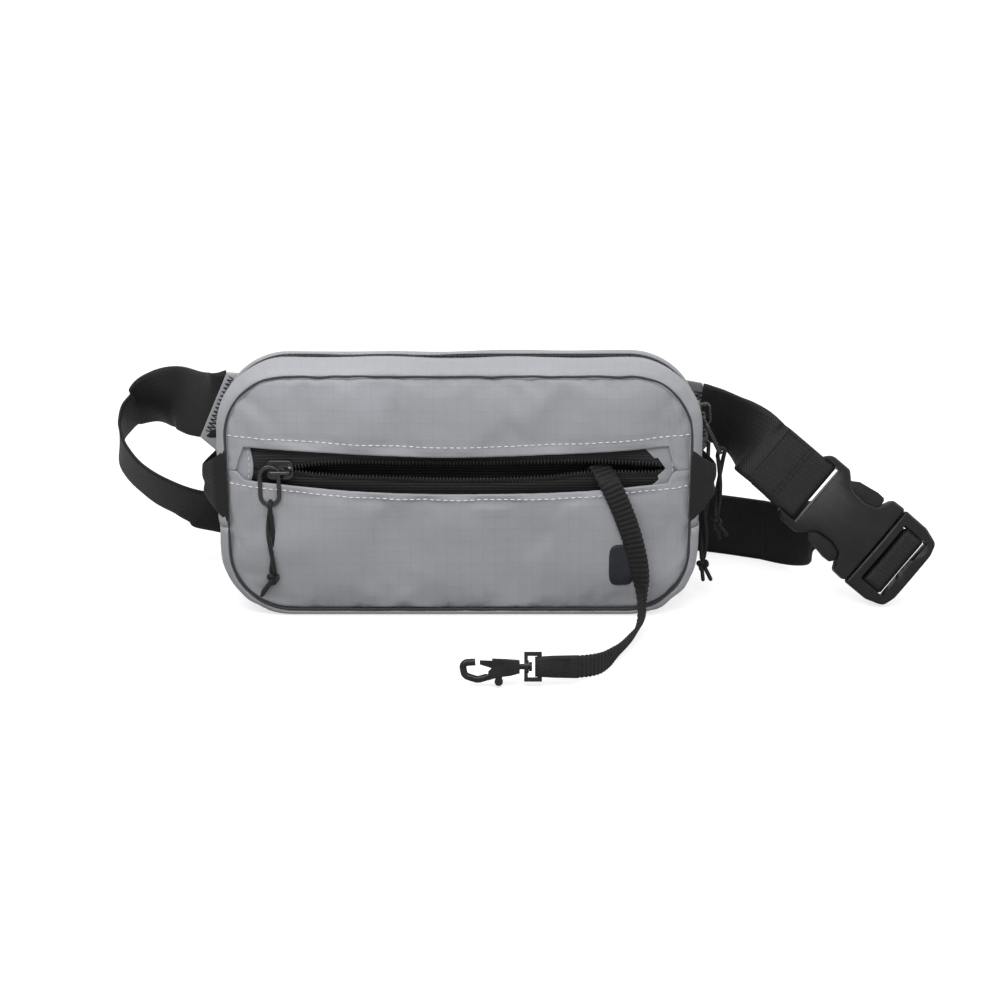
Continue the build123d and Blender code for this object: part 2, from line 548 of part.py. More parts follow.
gate_line = Polyline(
    (6.6, -2.2), (16.4, -2.6), (16.4, -0.9), (10.2, 1.0), (9.8, 5.6), (7.6, 5.6), (6.6, 0.8), close=True
)
gate = extrude(make_face(gate_line), amount=0.9, both=True)
gate += Pos(8.7, 6.0, 0) * Cylinder(1.7, 3.6)
gate -= Pos(GATE_PIVOT[0], GATE_PIVOT[1], 0) * Cylinder(0.75, 10)
keep("hook_gate", HOOK * gate)

FOLD_END = [(-21, 1.3), (-9.4, 2.6), (-6.4, 1.4), (-6.4, -1.4), (-9.4, -2.6), (-21, -1.3)]
fold_face = make_face(Polyline(*FOLD_END, close=True))
sewn = extrude(Plane.XZ * fold_face, amount=4.2, both=True) - block(-9.6, -6.1, -8, 8, -1.4, 1.4)
keep("leash_sewn_end", HOOK * sewn)

for name, shape in PARTS.items():
    export_step(shape, f"parts/{name}.step")
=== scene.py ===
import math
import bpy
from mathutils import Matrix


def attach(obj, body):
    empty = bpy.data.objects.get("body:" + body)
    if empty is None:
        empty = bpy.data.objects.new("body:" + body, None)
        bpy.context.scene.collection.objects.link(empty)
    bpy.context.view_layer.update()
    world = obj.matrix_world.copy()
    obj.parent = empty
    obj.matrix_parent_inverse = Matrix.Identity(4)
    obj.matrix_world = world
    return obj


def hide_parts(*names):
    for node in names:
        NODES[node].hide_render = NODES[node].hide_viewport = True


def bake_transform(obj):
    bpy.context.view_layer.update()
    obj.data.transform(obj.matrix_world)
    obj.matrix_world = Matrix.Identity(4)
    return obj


bl_info = {
    "name": "Small Belt Bag",
    "version": (1, 0, 0),
    "blender": (4, 5, 0),
    "location": "3D View > Sidebar > Belt Bag",
    "description": "Builds a ripstop belt bag with its zips, webbing, buckle and key leash",
    "category": "Object",
}

import bmesh
import bpy
from bpy.props import FloatProperty, FloatVectorProperty, PointerProperty
from mathutils import Vector, noise
from mathutils.bvhtree import BVHTree

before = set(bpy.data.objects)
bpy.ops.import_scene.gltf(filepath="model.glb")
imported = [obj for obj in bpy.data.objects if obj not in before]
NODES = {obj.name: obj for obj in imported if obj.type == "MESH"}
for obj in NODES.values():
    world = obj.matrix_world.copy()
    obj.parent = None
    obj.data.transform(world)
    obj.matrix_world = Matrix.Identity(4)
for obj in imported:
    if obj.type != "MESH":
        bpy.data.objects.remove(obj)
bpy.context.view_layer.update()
MM = 0.001

# Sections of the bag, as (y, half width, lowest z, highest z, corner radius) in millimetres.
FRONT_SEAM = (-26.0, 101.0, 3.0, 110.5, 27.0)
REAR_SEAM = (26.0, 99.0, 4.0, 101.0, 25.0)
JOIN_Z = 42.0
MID_Z = 68.0

# The section of the top zip, in millimetres, and the centre of its rounded corners.
ZIP_HALF, ZIP_HIGH, ZIP_RADIUS = 105.0, 113.0, 30.0
CORNER_X = ZIP_HALF - ZIP_RADIUS
CORNER_Z = ZIP_HIGH - ZIP_RADIUS

# How the gusset rolls from seam to zip to seam, from front to rear and in millimetres:
# (y, how far its sides are drawn in, how far its top is, how much smaller its corners are).
FRONT_ROLL = [
    (-24.4, 5.6, 5.4, 3.6), (-25.9, 4.6, 4.4, 3.0), (-26.5, 3.6, 3.2, 2.3), (-26.2, 2.4, 2.0, 1.5),
    (-25.0, 1.0, 0.9, 0.8), (-22.8, 0.1, 0.1, 0.3), (-19.0, -0.5, -0.6, 0.0), (-14.0, -0.6, -0.8, 0.0),
    (-9.0, -0.3, -0.4, 0.0), (-5.4, 0.0, 0.0, 0.0), (-3.9, 0.1, 0.1, 0.0), (-3.4, 0.7, 0.7, 0.0),
]
REAR_ROLL = [
    (3.4, 0.7, 0.7, 0.0), (3.9, 0.1, 0.1, 0.0), (6.0, -0.1, 0.2, 0.0), (11.0, -0.4, 1.2, 0.0),
    (16.0, -0.2, 3.4, 0.0), (20.0, 0.8, 5.8, 0.2), (23.5, 2.2, 8.4, 1.0), (25.8, 4.0, 10.6, 2.4),
    (26.4, 5.2, 11.8, 3.4), (25.9, 6.4, 12.8, 4.4), (24.6, 7.2, 13.6, 5.0),
]


# --- Small tools --------------------------------------------------------------------------------
def blend_numbers(a, b, share):
    """The number at a share of the way from a to b."""
    return a + (b - a) * share


def smooth_run(values, steps):
    """Values along a smooth run through all of the given ones."""
    values = [Vector(v) for v in values]
    ends = [values[0] * 2 - values[1]] + values + [values[-1] * 2 - values[-2]]
    run = []
    for i in range(1, len(ends) - 2):
        p0, p1, p2, p3 = ends[i - 1:i + 3]
        for k in range(steps):
            t = k / steps
            run.append(0.5 * (
                2 * p1 + (p2 - p0) * t + (2 * p0 - 5 * p1 + 4 * p2 - p3) * t * t
                + (3 * p1 - p0 - 3 * p2 + p3) * t * t * t
            ))
    return run + [values[-1]]


def round_corners(points, radius, steps=5):
    """A run of straight stretches with its corners rounded, for webbing bent round a bar."""
    points = [Vector(p) for p in points]
    run = [points[0]]
    for before, here, after in zip(points, points[1:], points[2:]):
        reach = min(radius, 0.45 * (here - before).length, 0.45 * (after - here).length)
        start = here + (before - here).normalized() * reach
        end = here + (after - here).normalized() * reach
        for k in range(steps + 1):
            t = k / steps
            run.append(start * (1 - t) ** 2 + here * 2 * t * (1 - t) + end * t * t)
    return run + [points[-1]]


def finished(name, mesh, finish, body, replaces=()):
    """A finished piece: its object at the origin, riding on its body."""
    piece = bpy.data.objects.new(name.replace(" ", "_"), mesh)
    bpy.context.scene.collection.objects.link(piece)
    if finish is not None:
        mesh.materials.clear()
        mesh.materials.append(finish)
    for face in mesh.polygons:
        face.use_smooth = True
    if body:
        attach(piece, body)
    if replaces:
        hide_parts(*replaces)
    return piece


def mesh_from(name, points, faces, places=None):
    """A mesh in metres from millimetres, with places on the cloth as its UV map."""
    mesh = bpy.data.meshes.new(name)
    mesh.from_pydata([Vector(p) * MM for p in points], [], faces)
    if places is not None:
        layer = mesh.uv_layers.new(name="Cloth")
        for loop in mesh.loops:
            u, v = places[loop.vertex_index]
            layer.data[loop.index].uv = (u * MM, v * MM)
    mesh.update()
    return mesh


def skin(name, rings, places, closed=True, capped=True):
    """A surface through rings that all have the same number of points."""
    count = len(rings[0])
    faces = []
    for i in range(len(rings) - 1):
        for j in range(count if closed else count - 1):
            k = (j + 1) % count
            faces.append((i * count + j, i * count + k, (i + 1) * count + k, (i + 1) * count + j))
    if closed and capped:
        faces.append(tuple(reversed(range(count))))
        faces.append(tuple((len(rings) - 1) * count + j for j in range(count)))
    return mesh_from(name, [p for ring in rings for p in ring], faces, [p for row in places for p in row])


def turned_out(mesh):
    """Makes a closed mesh's faces point outwards."""
    shape = bmesh.new()
    shape.from_mesh(mesh)
    bmesh.ops.recalc_face_normals(shape, faces=shape.faces)
    shape.to_mesh(mesh)
    shape.free()
    return mesh


def applied(piece, *settings):
    """Adds modifiers, given as (type, values), and applies them to the piece's mesh."""
    for kind, values in settings:
        modifier = piece.modifiers.new(kind.title(), kind)
        for key, value in values.items():
            setattr(modifier, key, value)
    graph = bpy.context.evaluated_depsgraph_get()
    result = bpy.data.meshes.new_from_object(piece.evaluated_get(graph))
    piece.modifiers.clear()
    piece.data = result
    return piece


def settle(mesh, pinned, frames=18, slack=0.02, pressure=0.0, cap=3.0):
    """Lets a sewn panel with a little spare cloth settle between its seams, and gives back its mesh."""
    piece = bpy.data.objects.new("settling", mesh)
    bpy.context.scene.collection.objects.link(piece)
    group = piece.vertex_groups.new(name="seams")
    for index, weight in pinned.items():
        group.add([index], weight, "REPLACE")
    before = [v.co.copy() for v in mesh.vertices]
    cloth = piece.modifiers.new("Cloth", "CLOTH")
    values = cloth.settings
    values.quality = 6
    values.mass = 0.15
    values.tension_stiffness = 25
    values.compression_stiffness = 25
    values.shear_stiffness = 12
    values.bending_stiffness = 1.2
    values.vertex_group_mass = "seams"
    values.pin_stiffness = 40
    values.shrink_min = -slack
    values.use_pressure = pressure != 0
    values.uniform_pressure_force = pressure
    values.effector_weights.gravity = 0
    cloth.point_cache.frame_end = frames
    scene = bpy.context.scene
    for step in range(1, frames + 1):
        scene.frame_set(step)
    graph = bpy.context.evaluated_depsgraph_get()
    result = bpy.data.meshes.new_from_object(piece.evaluated_get(graph))
    for vertex, start in zip(result.vertices, before):
        move = vertex.co - start
        if move.length > cap * MM:
            vertex.co = start + move.normalized() * cap * MM
    bpy.data.objects.remove(piece)
    scene.frame_set(1)
    return result


# --- Shader maths -------------------------------------------------------------------------------
class Signal:
    """A shader socket that takes part in sums."""

    def __init__(self, finish, socket):
        self.finish = finish
        self.socket = socket

    def sum(self, operation, *others):
        """This signal joined with others by a maths operation."""
        values = dict(enumerate((self, *others)))
        return self.finish.add("ShaderNodeMath", {"operation": operation}, values)

    def __add__(self, other):
        return self.sum("ADD", other)

    def __sub__(self, other):
        return self.sum("SUBTRACT", other)

    def __mul__(self, other):
        return self.sum("MULTIPLY", other)

    def __rsub__(self, other):
        return self.finish.add("ShaderNodeMath", {"operation": "SUBTRACT"}, {0: other, 1: self})

    __radd__ = __add__
    __rmul__ = __mul__

    def wave(self, pitch):
        """A smooth ridge from 0 to 1, repeated at a pitch in metres."""
        return (self * (2 * math.pi / pitch)).sum("COSINE") * 0.5 + 0.5

    def sharp(self, low, high):
        """0 below low, 1 above high."""
        values = {"Value": self, "From Min": low, "From Max": high}
        return self.finish.add("ShaderNodeMapRange", {"interpolation_type": "SMOOTHSTEP"}, values)


class Finish:
    """A material under construction."""

    def __init__(self, name, **fixed):
        self.material = bpy.data.materials.new(name)
        self.material.use_nodes = True
        self.tree = self.material.node_tree
        self.shader = self.tree.nodes["Principled BSDF"]
        self.set(**fixed)

    def add(self, kind, settings=None, values=None, out=0):
        """A node with its settings and inputs, as the signal of one output."""
        node = self.tree.nodes.new(kind)
        for key, value in (settings or {}).items():
            setattr(node, key, value)
        for key, value in (values or {}).items():
            self.join(node.inputs[key], value)
        return Signal(self, node.outputs[out])

    def join(self, socket, value):
        """Links a signal to a socket, or sets its plain value."""
        if isinstance(value, Signal):
            self.tree.links.new(value.socket, socket)
        else:
            socket.default_value = value

    def set(self, **values):
        """Sets inputs of the main shader by their names."""
        for key, value in values.items():
            self.join(self.shader.inputs[key.replace("_", " ").title().replace("Ior", "IOR")], value)

    def place(self):
        """Object coordinates."""
        return self.add("ShaderNodeTexCoord", out="Object")

    def cloth_place(self):
        """The place on the cloth, in metres, and its two numbers."""
        where = self.add("ShaderNodeTexCoord", out="UV")
        split = self.add("ShaderNodeSeparateXYZ", None, {0: where})
        node = split.socket.node
        return where, Signal(self, node.outputs[0]), Signal(self, node.outputs[1])

    def speckle(self, where, scale, detail=3.0, rough=0.55):
        """Even noise, from 0 to 1."""
        values = {"Vector": where, "Scale": scale, "Detail": detail, "Roughness": rough}
        return self.add("ShaderNodeTexNoise", None, values)

    def mix(self, share, first, second):
        """Two colours mixed by a share."""
        values = {0: share, 6: (*first, 1) if isinstance(first, tuple) else first}
        values[7] = (*second, 1) if isinstance(second, tuple) else second
        return self.add("ShaderNodeMix", {"data_type": "RGBA"}, values, out=2)

    def bump(self, height, depth, below=None):
        """A normal raised by a height, its depth in millimetres, over another normal."""
        values = {"Height": height, "Distance": depth * MM, "Strength": 1.0}
        if below is not None:
            values["Normal"] = below
        return self.add("ShaderNodeBump", None, values)


def shade(colour, share):
    """A colour made darker or lighter by a share."""
    return tuple(c * share for c in colour)


# Distance between the ripstop's raised threads and between its plain ones, in metres.
RIPSTOP_PITCH = 0.0053
WEAVE_PITCH = 0.0009


def ripstop_finish(name, colour):
    """Ripstop nylon: a faint raised grid on a fine weave, with soft painted crease shading in its colour."""
    cloth = Finish(name, sheen_weight=0.12, sheen_roughness=0.5, specular_ior_level=0.3)
    where, u, v = cloth.cloth_place()
    grid = u.wave(RIPSTOP_PITCH).sharp(0.93, 1.0) + v.wave(RIPSTOP_PITCH).sharp(0.93, 1.0)
    weave = (u.wave(WEAVE_PITCH) + v.wave(WEAVE_PITCH)) * 0.5
    # Soft light and dark patches in the colour: painted crease shading.
    body = cloth.speckle(cloth.place(), 14.0)
    grain = cloth.speckle(where, 900.0, 2.0)
    tone = cloth.mix(body.sharp(0.3, 0.72), shade(colour, 0.93), shade(colour, 1.05))
    tone = cloth.mix(grid * 0.08, tone, shade(colour, 0.62))
    tone = cloth.mix(grain.sharp(0.35, 0.7) * 0.14, tone, shade(colour, 0.8))
    fold = cloth.bump(cloth.speckle(cloth.place(), 46.0, 2.0), 0.7)
    normal = cloth.bump(grid * 0.3 + weave * 0.25 + grain * 0.2, 0.07, fold)
    cloth.set(base_color=tone, roughness=grain * 0.14 + 0.46, normal=normal)
    return cloth.material


def webbing_finish(name, colour, pitch=0.0011):
    """Woven webbing: slanting ribs with a dull sheen."""
    band = Finish(name, sheen_weight=0.05, sheen_roughness=0.4, specular_ior_level=0.28)
    where, u, v = band.cloth_place()
    twill = (u + v * 0.62).wave(pitch)
    cross = (v - u * 0.15).wave(pitch * 1.9)
    wear = band.speckle(band.place(), 60.0)
    grain = band.speckle(where, 1400.0, 2.0)
    tone = band.mix(twill, shade(colour, 0.55), shade(colour, 1.5))
    tone = band.mix(wear.sharp(0.45, 0.8) * 0.35, tone, shade(colour, 2.1))
    height = twill * 0.7 + cross * 0.3 + grain * 0.3
    band.set(base_color=tone, roughness=0.62 - twill * 0.16 + grain * 0.1, normal=band.bump(height, 0.16))
    return band.material


def tape_finish(name, colour):
    """Zip tape: fine woven lines along its length."""
    tape = Finish(name, sheen_weight=0.04, specular_ior_level=0.25)
    where, u, v = tape.cloth_place()
    lines = v.wave(0.0013)
    cross = u.wave(0.0008)
    tone = tape.mix(lines, shade(colour, 0.6), shade(colour, 1.5))
    normal = tape.bump(lines + cross * 0.3, 0.14)
    tape.set(base_color=tone, roughness=0.5 + tape.speckle(where, 800.0) * 0.2, normal=normal)
    return tape.material


def moulded_finish(name, colour, roughness, grain_depth, metallic=0.0, coat=0.0):
    """Moulded or cast black: a fine skin texture, rubbed a little brighter here and there."""
    solid = Finish(name, metallic=metallic, coat_roughness=0.12, specular_ior_level=0.3)
    where = solid.place()
    skin_grain = solid.speckle(where, 2600.0, 2.0)
    wear = solid.speckle(where, 130.0)
    tone = solid.mix(wear.sharp(0.4, 0.75), colour, shade(colour, 1.5))
    rough = skin_grain * 0.1 + (wear * 0.1 + (roughness - 0.1))
    solid.set(base_color=tone, roughness=rough, coat_weight=coat, normal=solid.bump(skin_grain, grain_depth))
    return solid.material


def thread_finish(name, colour, pitch=0.0005):
    """Twisted thread or braided cord."""
    thread = Finish(name, sheen_weight=0.04, specular_ior_level=0.25)
    where = thread.place()
    fibre = thread.speckle(where, 2200.0, 2.0)
    split = thread.add("ShaderNodeSeparateXYZ", None, {0: where}).socket.node
    x, y, z = (Signal(thread, split.outputs[i]) for i in range(3))
    plait = (x + z * 1.3).wave(pitch) * (y + z * -1.1 + x * 0.4).wave(pitch)
    tone = thread.mix(plait * 0.6 + fibre * 0.3, shade(colour, 0.65), shade(colour, 1.25))
    thread.set(base_color=tone, roughness=fibre * 0.2 + 0.5, normal=thread.bump(plait + fibre * 0.4, 0.12))
    return thread.material


def mesh_back_finish(name, colour):
    """Padded air mesh: rows of small round holes."""
    cloth = Finish(name, sheen_weight=0.4, specular_ior_level=0.2)
    where, u, v = cloth.cloth_place()
    holes = u.wave(0.0026) * v.wave(0.0026)
    tone = cloth.mix(holes.sharp(0.35, 0.8), colour, shade(colour, 0.3))
    normal = cloth.bump(1 - holes, 0.5)
    cloth.set(base_color=tone, roughness=0.75 + cloth.speckle(where, 700.0) * 0.15, normal=normal)
    return cloth.material


# --- Geometry Nodes: small pieces along a run ---------------------------------------------------
def bead_tree():
    """A tree that sets rounded pieces, such as stitches or teeth, along an edge run."""
    tree = bpy.data.node_groups.new("Pieces Along A Run", "GeometryNodeTree")
    sockets = tree.interface
    sockets.new_socket("Geometry", in_out="INPUT", socket_type="NodeSocketGeometry")
    for name, default in (
        ("Spacing", 0.003), ("Length", 0.002), ("Width", 0.0006), ("Height", 0.0005), ("Swing", 0.0),
    ):
        sockets.new_socket(name, in_out="INPUT", socket_type="NodeSocketFloat").default_value = default
    sockets.new_socket("Material", in_out="INPUT", socket_type="NodeSocketMaterial")
    sockets.new_socket("Geometry", in_out="OUTPUT", socket_type="NodeSocketGeometry")

    def add(kind, values=None, **settings):
        """A node of the tree, with its inputs and settings."""
        node = tree.nodes.new(kind)
        for key, value in settings.items():
            setattr(node, key, value)
        for key, value in (values or {}).items():
            if isinstance(value, bpy.types.NodeSocket):
                tree.links.new(value, node.inputs[key])
            else:
                node.inputs[key].default_value = value
        return node

    given = add("NodeGroupInput").outputs
    curve = add("GeometryNodeMeshToCurve", {0: given["Geometry"]})
    stretch = {"Curve": curve.outputs[0], "Length": given["Spacing"]}
    run = add("GeometryNodeResampleCurve", stretch, mode="LENGTH")
    along = add("GeometryNodeInputTangent").outputs[0]
    outward = add("GeometryNodeInputNamedAttribute", {"Name": "outward"}, data_type="FLOAT_VECTOR").outputs[0]
    ahead = add("FunctionNodeAlignRotationToVector", {"Vector": along}, axis="X")
    facing = {"Rotation": ahead.outputs[0], "Vector": outward}
    upright = add("FunctionNodeAlignRotationToVector", facing, axis="Z", pivot_axis="X")
    index = add("GeometryNodeInputIndex").outputs[0]
    odd = add("ShaderNodeMath", {0: index, 1: 2.0}, operation="FLOORED_MODULO").outputs[0]
    side = add("ShaderNodeMath", {0: odd, 1: 2.0, 2: -1.0}, operation="MULTIPLY_ADD").outputs[0]
    angle = add("ShaderNodeMath", {0: side, 1: given["Swing"]}, operation="MULTIPLY").outputs[0]
    turn = add("ShaderNodeCombineXYZ", {"Z": angle}).outputs[0]
    swung = add("FunctionNodeRotateRotation", {0: upright.outputs[0], 1: turn}, rotation_space="LOCAL")
    size = add("ShaderNodeCombineXYZ", {0: given["Length"], 1: given["Width"], 2: given["Height"]}).outputs[0]
    bead = add("GeometryNodeMeshUVSphere", {"Segments": 8, "Rings": 5, "Radius": 0.5})
    placed = add("GeometryNodeInstanceOnPoints", {
        "Points": run.outputs[0], "Instance": bead.outputs[0], "Rotation": swung.outputs[0], "Scale": size,
    })
    real = add("GeometryNodeRealizeInstances", {0: placed.outputs[0]})
    soft = add("GeometryNodeSetShadeSmooth", {0: real.outputs[0]})
    coloured = add("GeometryNodeSetMaterial", {0: soft.outputs[0], "Material": given["Material"]})
    add("NodeGroupOutput", {0: coloured.outputs[0]})
    return tree


def beads(name, runs, finish, body, spacing, length, width, height, swing=0.0):
    """Small pieces along runs of (point, outward direction), sizes in millimetres."""
    points = []
    edges = []
    outward = []
    for run in runs:
        first = len(points)
        points += [Vector(p) * MM for p, _ in run]
        outward += [Vector(o) for _, o in run]
        edges += [(first + i, first + i + 1) for i in range(len(run) - 1)]
    mesh = bpy.data.meshes.new(name)
    mesh.from_pydata(points, edges, [])
    layer = mesh.attributes.new("outward", "FLOAT_VECTOR", "POINT")
    for i, direction in enumerate(outward):
        layer.data[i].vector = direction
    guide = bpy.data.objects.new(name + "_guide", mesh)
    bpy.context.scene.collection.objects.link(guide)
    tree = bpy.data.node_groups.get("Pieces Along A Run") or bead_tree()
    modifier = guide.modifiers.new("Pieces", "NODES")
    modifier.node_group = tree
    sizes = {"Spacing": spacing, "Length": length, "Width": width, "Height": height}
    for item in tree.interface.items_tree:
        if item.name in sizes and item.in_out == "INPUT":
            modifier[item.identifier] = sizes[item.name] * MM
        elif item.name == "Swing":
            modifier[item.identifier] = swing
        elif item.name == "Material":
            modifier[item.identifier] = finish
    graph = bpy.context.evaluated_depsgraph_get()
    result = bpy.data.meshes.new_from_object(guide.evaluated_get(graph))
    bpy.data.objects.remove(guide)
    return finished(name, result, finish, body)


# --- Shapes of the sewn shell -------------------------------------------------------------------
def outline(half, low, high, radius, upper=True):
    """Points of a rounded outline: its upper part from the left join over the crown, or its lower."""
    points = []
    if upper:
        corner_z = high - radius
        points += [(-half, blend_numbers(JOIN_Z, corner_z, i / 12)) for i in range(12)]
        for i in range(18):
            a = math.pi - math.pi / 2 * i / 18
            points.append((-half + radius + radius * math.cos(a), corner_z + radius * math.sin(a)))
        points += [(blend_numbers(-half + radius, 0, i / 30), high) for i in range(30)]
    else:
        corner_z = low + radius
        points += [(-half, blend_numbers(JOIN_Z, corner_z, i / 4)) for i in range(4)]
        for i in range(18):
            a = math.pi + math.pi / 2 * i / 18
            points.append((-half + radius + radius * math.cos(a), corner_z + radius * math.sin(a)))
        points += [(blend_numbers(-half + radius, 0, i / 30), low) for i in range(30)]
    return points + [(0, points[-1][1])] + [(-x, z) for x, z in reversed(points)]


def ring_at(y, side, crown, softer, upper=True):
    """One line of the gusset: the zip's section drawn in at its sides and its top."""
    half, high, radius = ZIP_HALF - side, ZIP_HIGH - crown, ZIP_RADIUS - softer
    low = max(0.0, side * 0.6)
    return [(x, y, z) for x, z in outline(half, low, high, radius, upper)]


def gusset(name, roll, upper, finish, replaces, ripple):
    """A gusset panel: rolled at its seam, with small puckers where it is sewn."""
    rings = [ring_at(*line, upper) for line in roll]
    fine = []
    for column in zip(*rings):
        fine.append(smooth_run(column, 2))
    rings = [list(row) for row in zip(*fine)]
    walked = [0.0]
    for a, b in zip(rings[-1], rings[-1][1:]):
        walked.append(walked[-1] + (Vector(b) - Vector(a)).length)
    places = []
    for ring in rings:
        places.append([(s, ring[0][1]) for s in walked])
    centre = Vector((0, 0, 58))
    for i, ring in enumerate(rings):
        sewn = abs(ring[0][1])
        near = math.exp(-((abs(sewn - 24.0)) / 5.0) ** 2)
        for j, point in enumerate(ring):
            out = Vector((point[0] / 105, 0, (point[2] - 58) / 55))
            out.normalize()
            wave = noise.noise(Vector((walked[j] * 0.16, ripple, 0.0))) * 0.9 * near
            wave += noise.noise(Vector((walked[j] * 0.035, sewn * 0.05, ripple + 4))) * 0.9
            if i not in (0, len(rings) - 1):
                ring[j] = Vector(point) + out * wave * (1.0 if point[2] > 3 else 0.0)
    mesh = skin(name, rings, places, closed=False)
    piece = finished(name, mesh, finish, "bag", replaces)
    facing = mesh.polygons[len(mesh.polygons) // 2]
    if facing.normal.dot(facing.center - centre * MM) < 0:
        mesh.flip_normals()
    applied(piece, ("SOLIDIFY", {"thickness": 1.1 * MM, "offset": -1}))
    return piece


def edge_distance(x, z, station):
    """How far a point of a face is inside its rounded outline."""
    _, half, low, high, radius = station
    dx = abs(x) - (half - radius)
    dz = abs(z - (low + high) / 2) - ((high - low) / 2 - radius)
    outside = math.hypot(max(dx, 0), max(dz, 0)) + min(max(dx, dz), 0)
    return radius - outside


def reach(x, station, top):
    """The height of the outline's top or bottom at x."""
    _, half, low, high, radius = station
    over = max(abs(x) - (half - radius), 0)
    drop = radius - math.sqrt(max(radius * radius - over * over, 0))
    return high - drop if top else low + drop


def columns(half, radius):
    """x positions across a face, closer together in the rounded corners."""
    run = [-half + radius * (1 - math.cos(math.pi / 2 * i / 14)) for i in range(14)]
    count = int((half - radius) / 2.2)
    run += [blend_numbers(-half + radius, 0, i / count) for i in range(count)]
    return run + [0.0] + [-x for x in reversed(run)]


def arc_height(x, left, middle, right):
    """The height at x of a shallow curve through three heights at -93, 0 and 90."""
    side = left if x < 0 else right
    far = -93.0 if x < 0 else 90.0
    return middle + (side - middle) * min((x / far) ** 2, 1.3)


def window_top(x):
    """Height of the pocket opening's upper edge."""
    return arc_height(x, 79.0, 74.8, 79.0)


def window_low(x):
    """Height of the pocket opening's lower edge."""
    return arc_height(x, 64.0, 58.0, 62.5)


def crease(x, z, start, end, width):
    """1 on the line of a sewn dart, falling to 0 beside it."""
    a, b, p = Vector(start), Vector(end), Vector((x, z))
    along = max(0.0, min(1.0, (p - a).dot(b - a) / (b - a).length_squared))
    away = (p - a.lerp(b, along)).length
    return math.exp(-(away / width) ** 2) * (1 - along * 0.6)


def front_surface(x, z, hem):
    """How far forward the front cloth stands at a point. hem is the distance from the pocket's hem."""
    inside = max(edge_distance(x, z, FRONT_SEAM), 0.0)
    dome = 3.6 * (1 - math.exp(-inside / 16)) * (1 - 0.35 * (x / 101) ** 2)
    dip = 1.9 * math.exp(-(inside / 1.5) ** 1.4)
    pucker = noise.noise(Vector((x * 0.2, z * 0.12, 1.0))) * 0.55 * math.exp(-inside / 5)
    pucker += noise.noise(Vector((x * 0.24, 3.0, z * 0.05))) * 0.35 * math.exp(-hem / 6)
    pucker += noise.noise(Vector((x * 0.026, z * 0.045, 7.0))) * 1.5 * min(inside / 14, 1)
    stitched = 0.45 * math.exp(-((hem - 4.2) / 0.8) ** 2)
    darts = crease(x, z, (-92, 101), (-80, 91), 2.0) + crease(x, z, (92, 101), (84, 90), 2.0)
    darts += crease(x, z, (-97, 93), (-90, 83), 1.6) * 0.6 + crease(x, z, (97, 92), (92, 84), 1.6) * 0.6
    belly = 1.6 * math.exp(-((z - 34) / 22) ** 2) * (1 - (x / 101) ** 2)
    return -26.0 - dome * 0.75 + dip - pucker + stitched + darts * 1.5 - belly


CLOTH_FACES = []


def on_cloth(x, z, hem):
    """How far forward the made front panels stand at a point."""
    hits = [tree.ray_cast(Vector((x, -60, z)) * MM, Vector((0, 1, 0)))[0] for tree in CLOTH_FACES]
    return min([hit.y / MM for hit in hits if hit] or [front_surface(x, z, hem)])


def front_panel(name, top, finish, replaces):
    """The front's upper or lower panel, from the outer seam to its hem at the pocket zip."""
    xs = columns(FRONT_SEAM[1] - 0.6, FRONT_SEAM[4] - 0.6)
    rows = 18 if top else 30
    station = (0, FRONT_SEAM[1] - 0.6, FRONT_SEAM[2] + 0.6, FRONT_SEAM[3] - 0.6, FRONT_SEAM[4] - 0.6)
    grid = []
    for x in xs:
        outer = reach(x, station, top)
        hem = window_top(x) if top else window_low(x)
        beyond = max(abs(x + 1.5) - 92.5, 0) / 2.5
        hem = blend_numbers(hem, MID_Z, min(beyond, 1) ** 0.6)
        line = []
        for j in range(rows + 1):
            share = j / rows
            share = share - 0.09 * math.sin(2 * math.pi * share)
            z = blend_numbers(outer, hem, share)
            line.append((x, front_surface(x, z, abs(z - hem)), z))
        grid.append(line)
    places = [[(x, z) for x, _, z in line] for line in grid]
    mesh = skin(name, grid, places, closed=False)
    last = len(grid) - 1
    pinned = {}
    for i, line in enumerate(grid):
        for j in range(rows + 1):
            if i in (0, last) or j in (0, 1, rows - 1, rows):
                pinned[i * (rows + 1) + j] = 1.0
    if mesh.polygons[len(mesh.polygons) // 2].normal.y > 0:
        mesh.flip_normals()
    mesh = settle(mesh, pinned, slack=0.010, pressure=0.4, cap=0.8)
    mesh.name = name
    corners = [v.co for v in mesh.vertices]
    CLOTH_FACES.append(BVHTree.FromPolygons(corners, [p.vertices for p in mesh.polygons]))
    piece = finished(name, mesh, finish, "bag", replaces)
    return applied(piece, ("SOLIDIFY", {"thickness": 1.0 * MM, "offset": -1}))


# --- Straps and tubes ---------------------------------------------------------------------------
def strap_profile(width, thick, count=10):
    """Half a strap's section and its mirror: (across, out), rounded at the edges."""
    across = [width / 2 * math.sin(math.pi / 2 * (2 * i / count - 1)) for i in range(count + 1)]
    upper = [(a, thick / 2 * min(1.0, (width / 2 - abs(a)) / (thick * 0.5)) ** 0.5) for a in across]
    lower = [(a, -o) for a, o in reversed(upper[1:-1])]
    return upper + lower


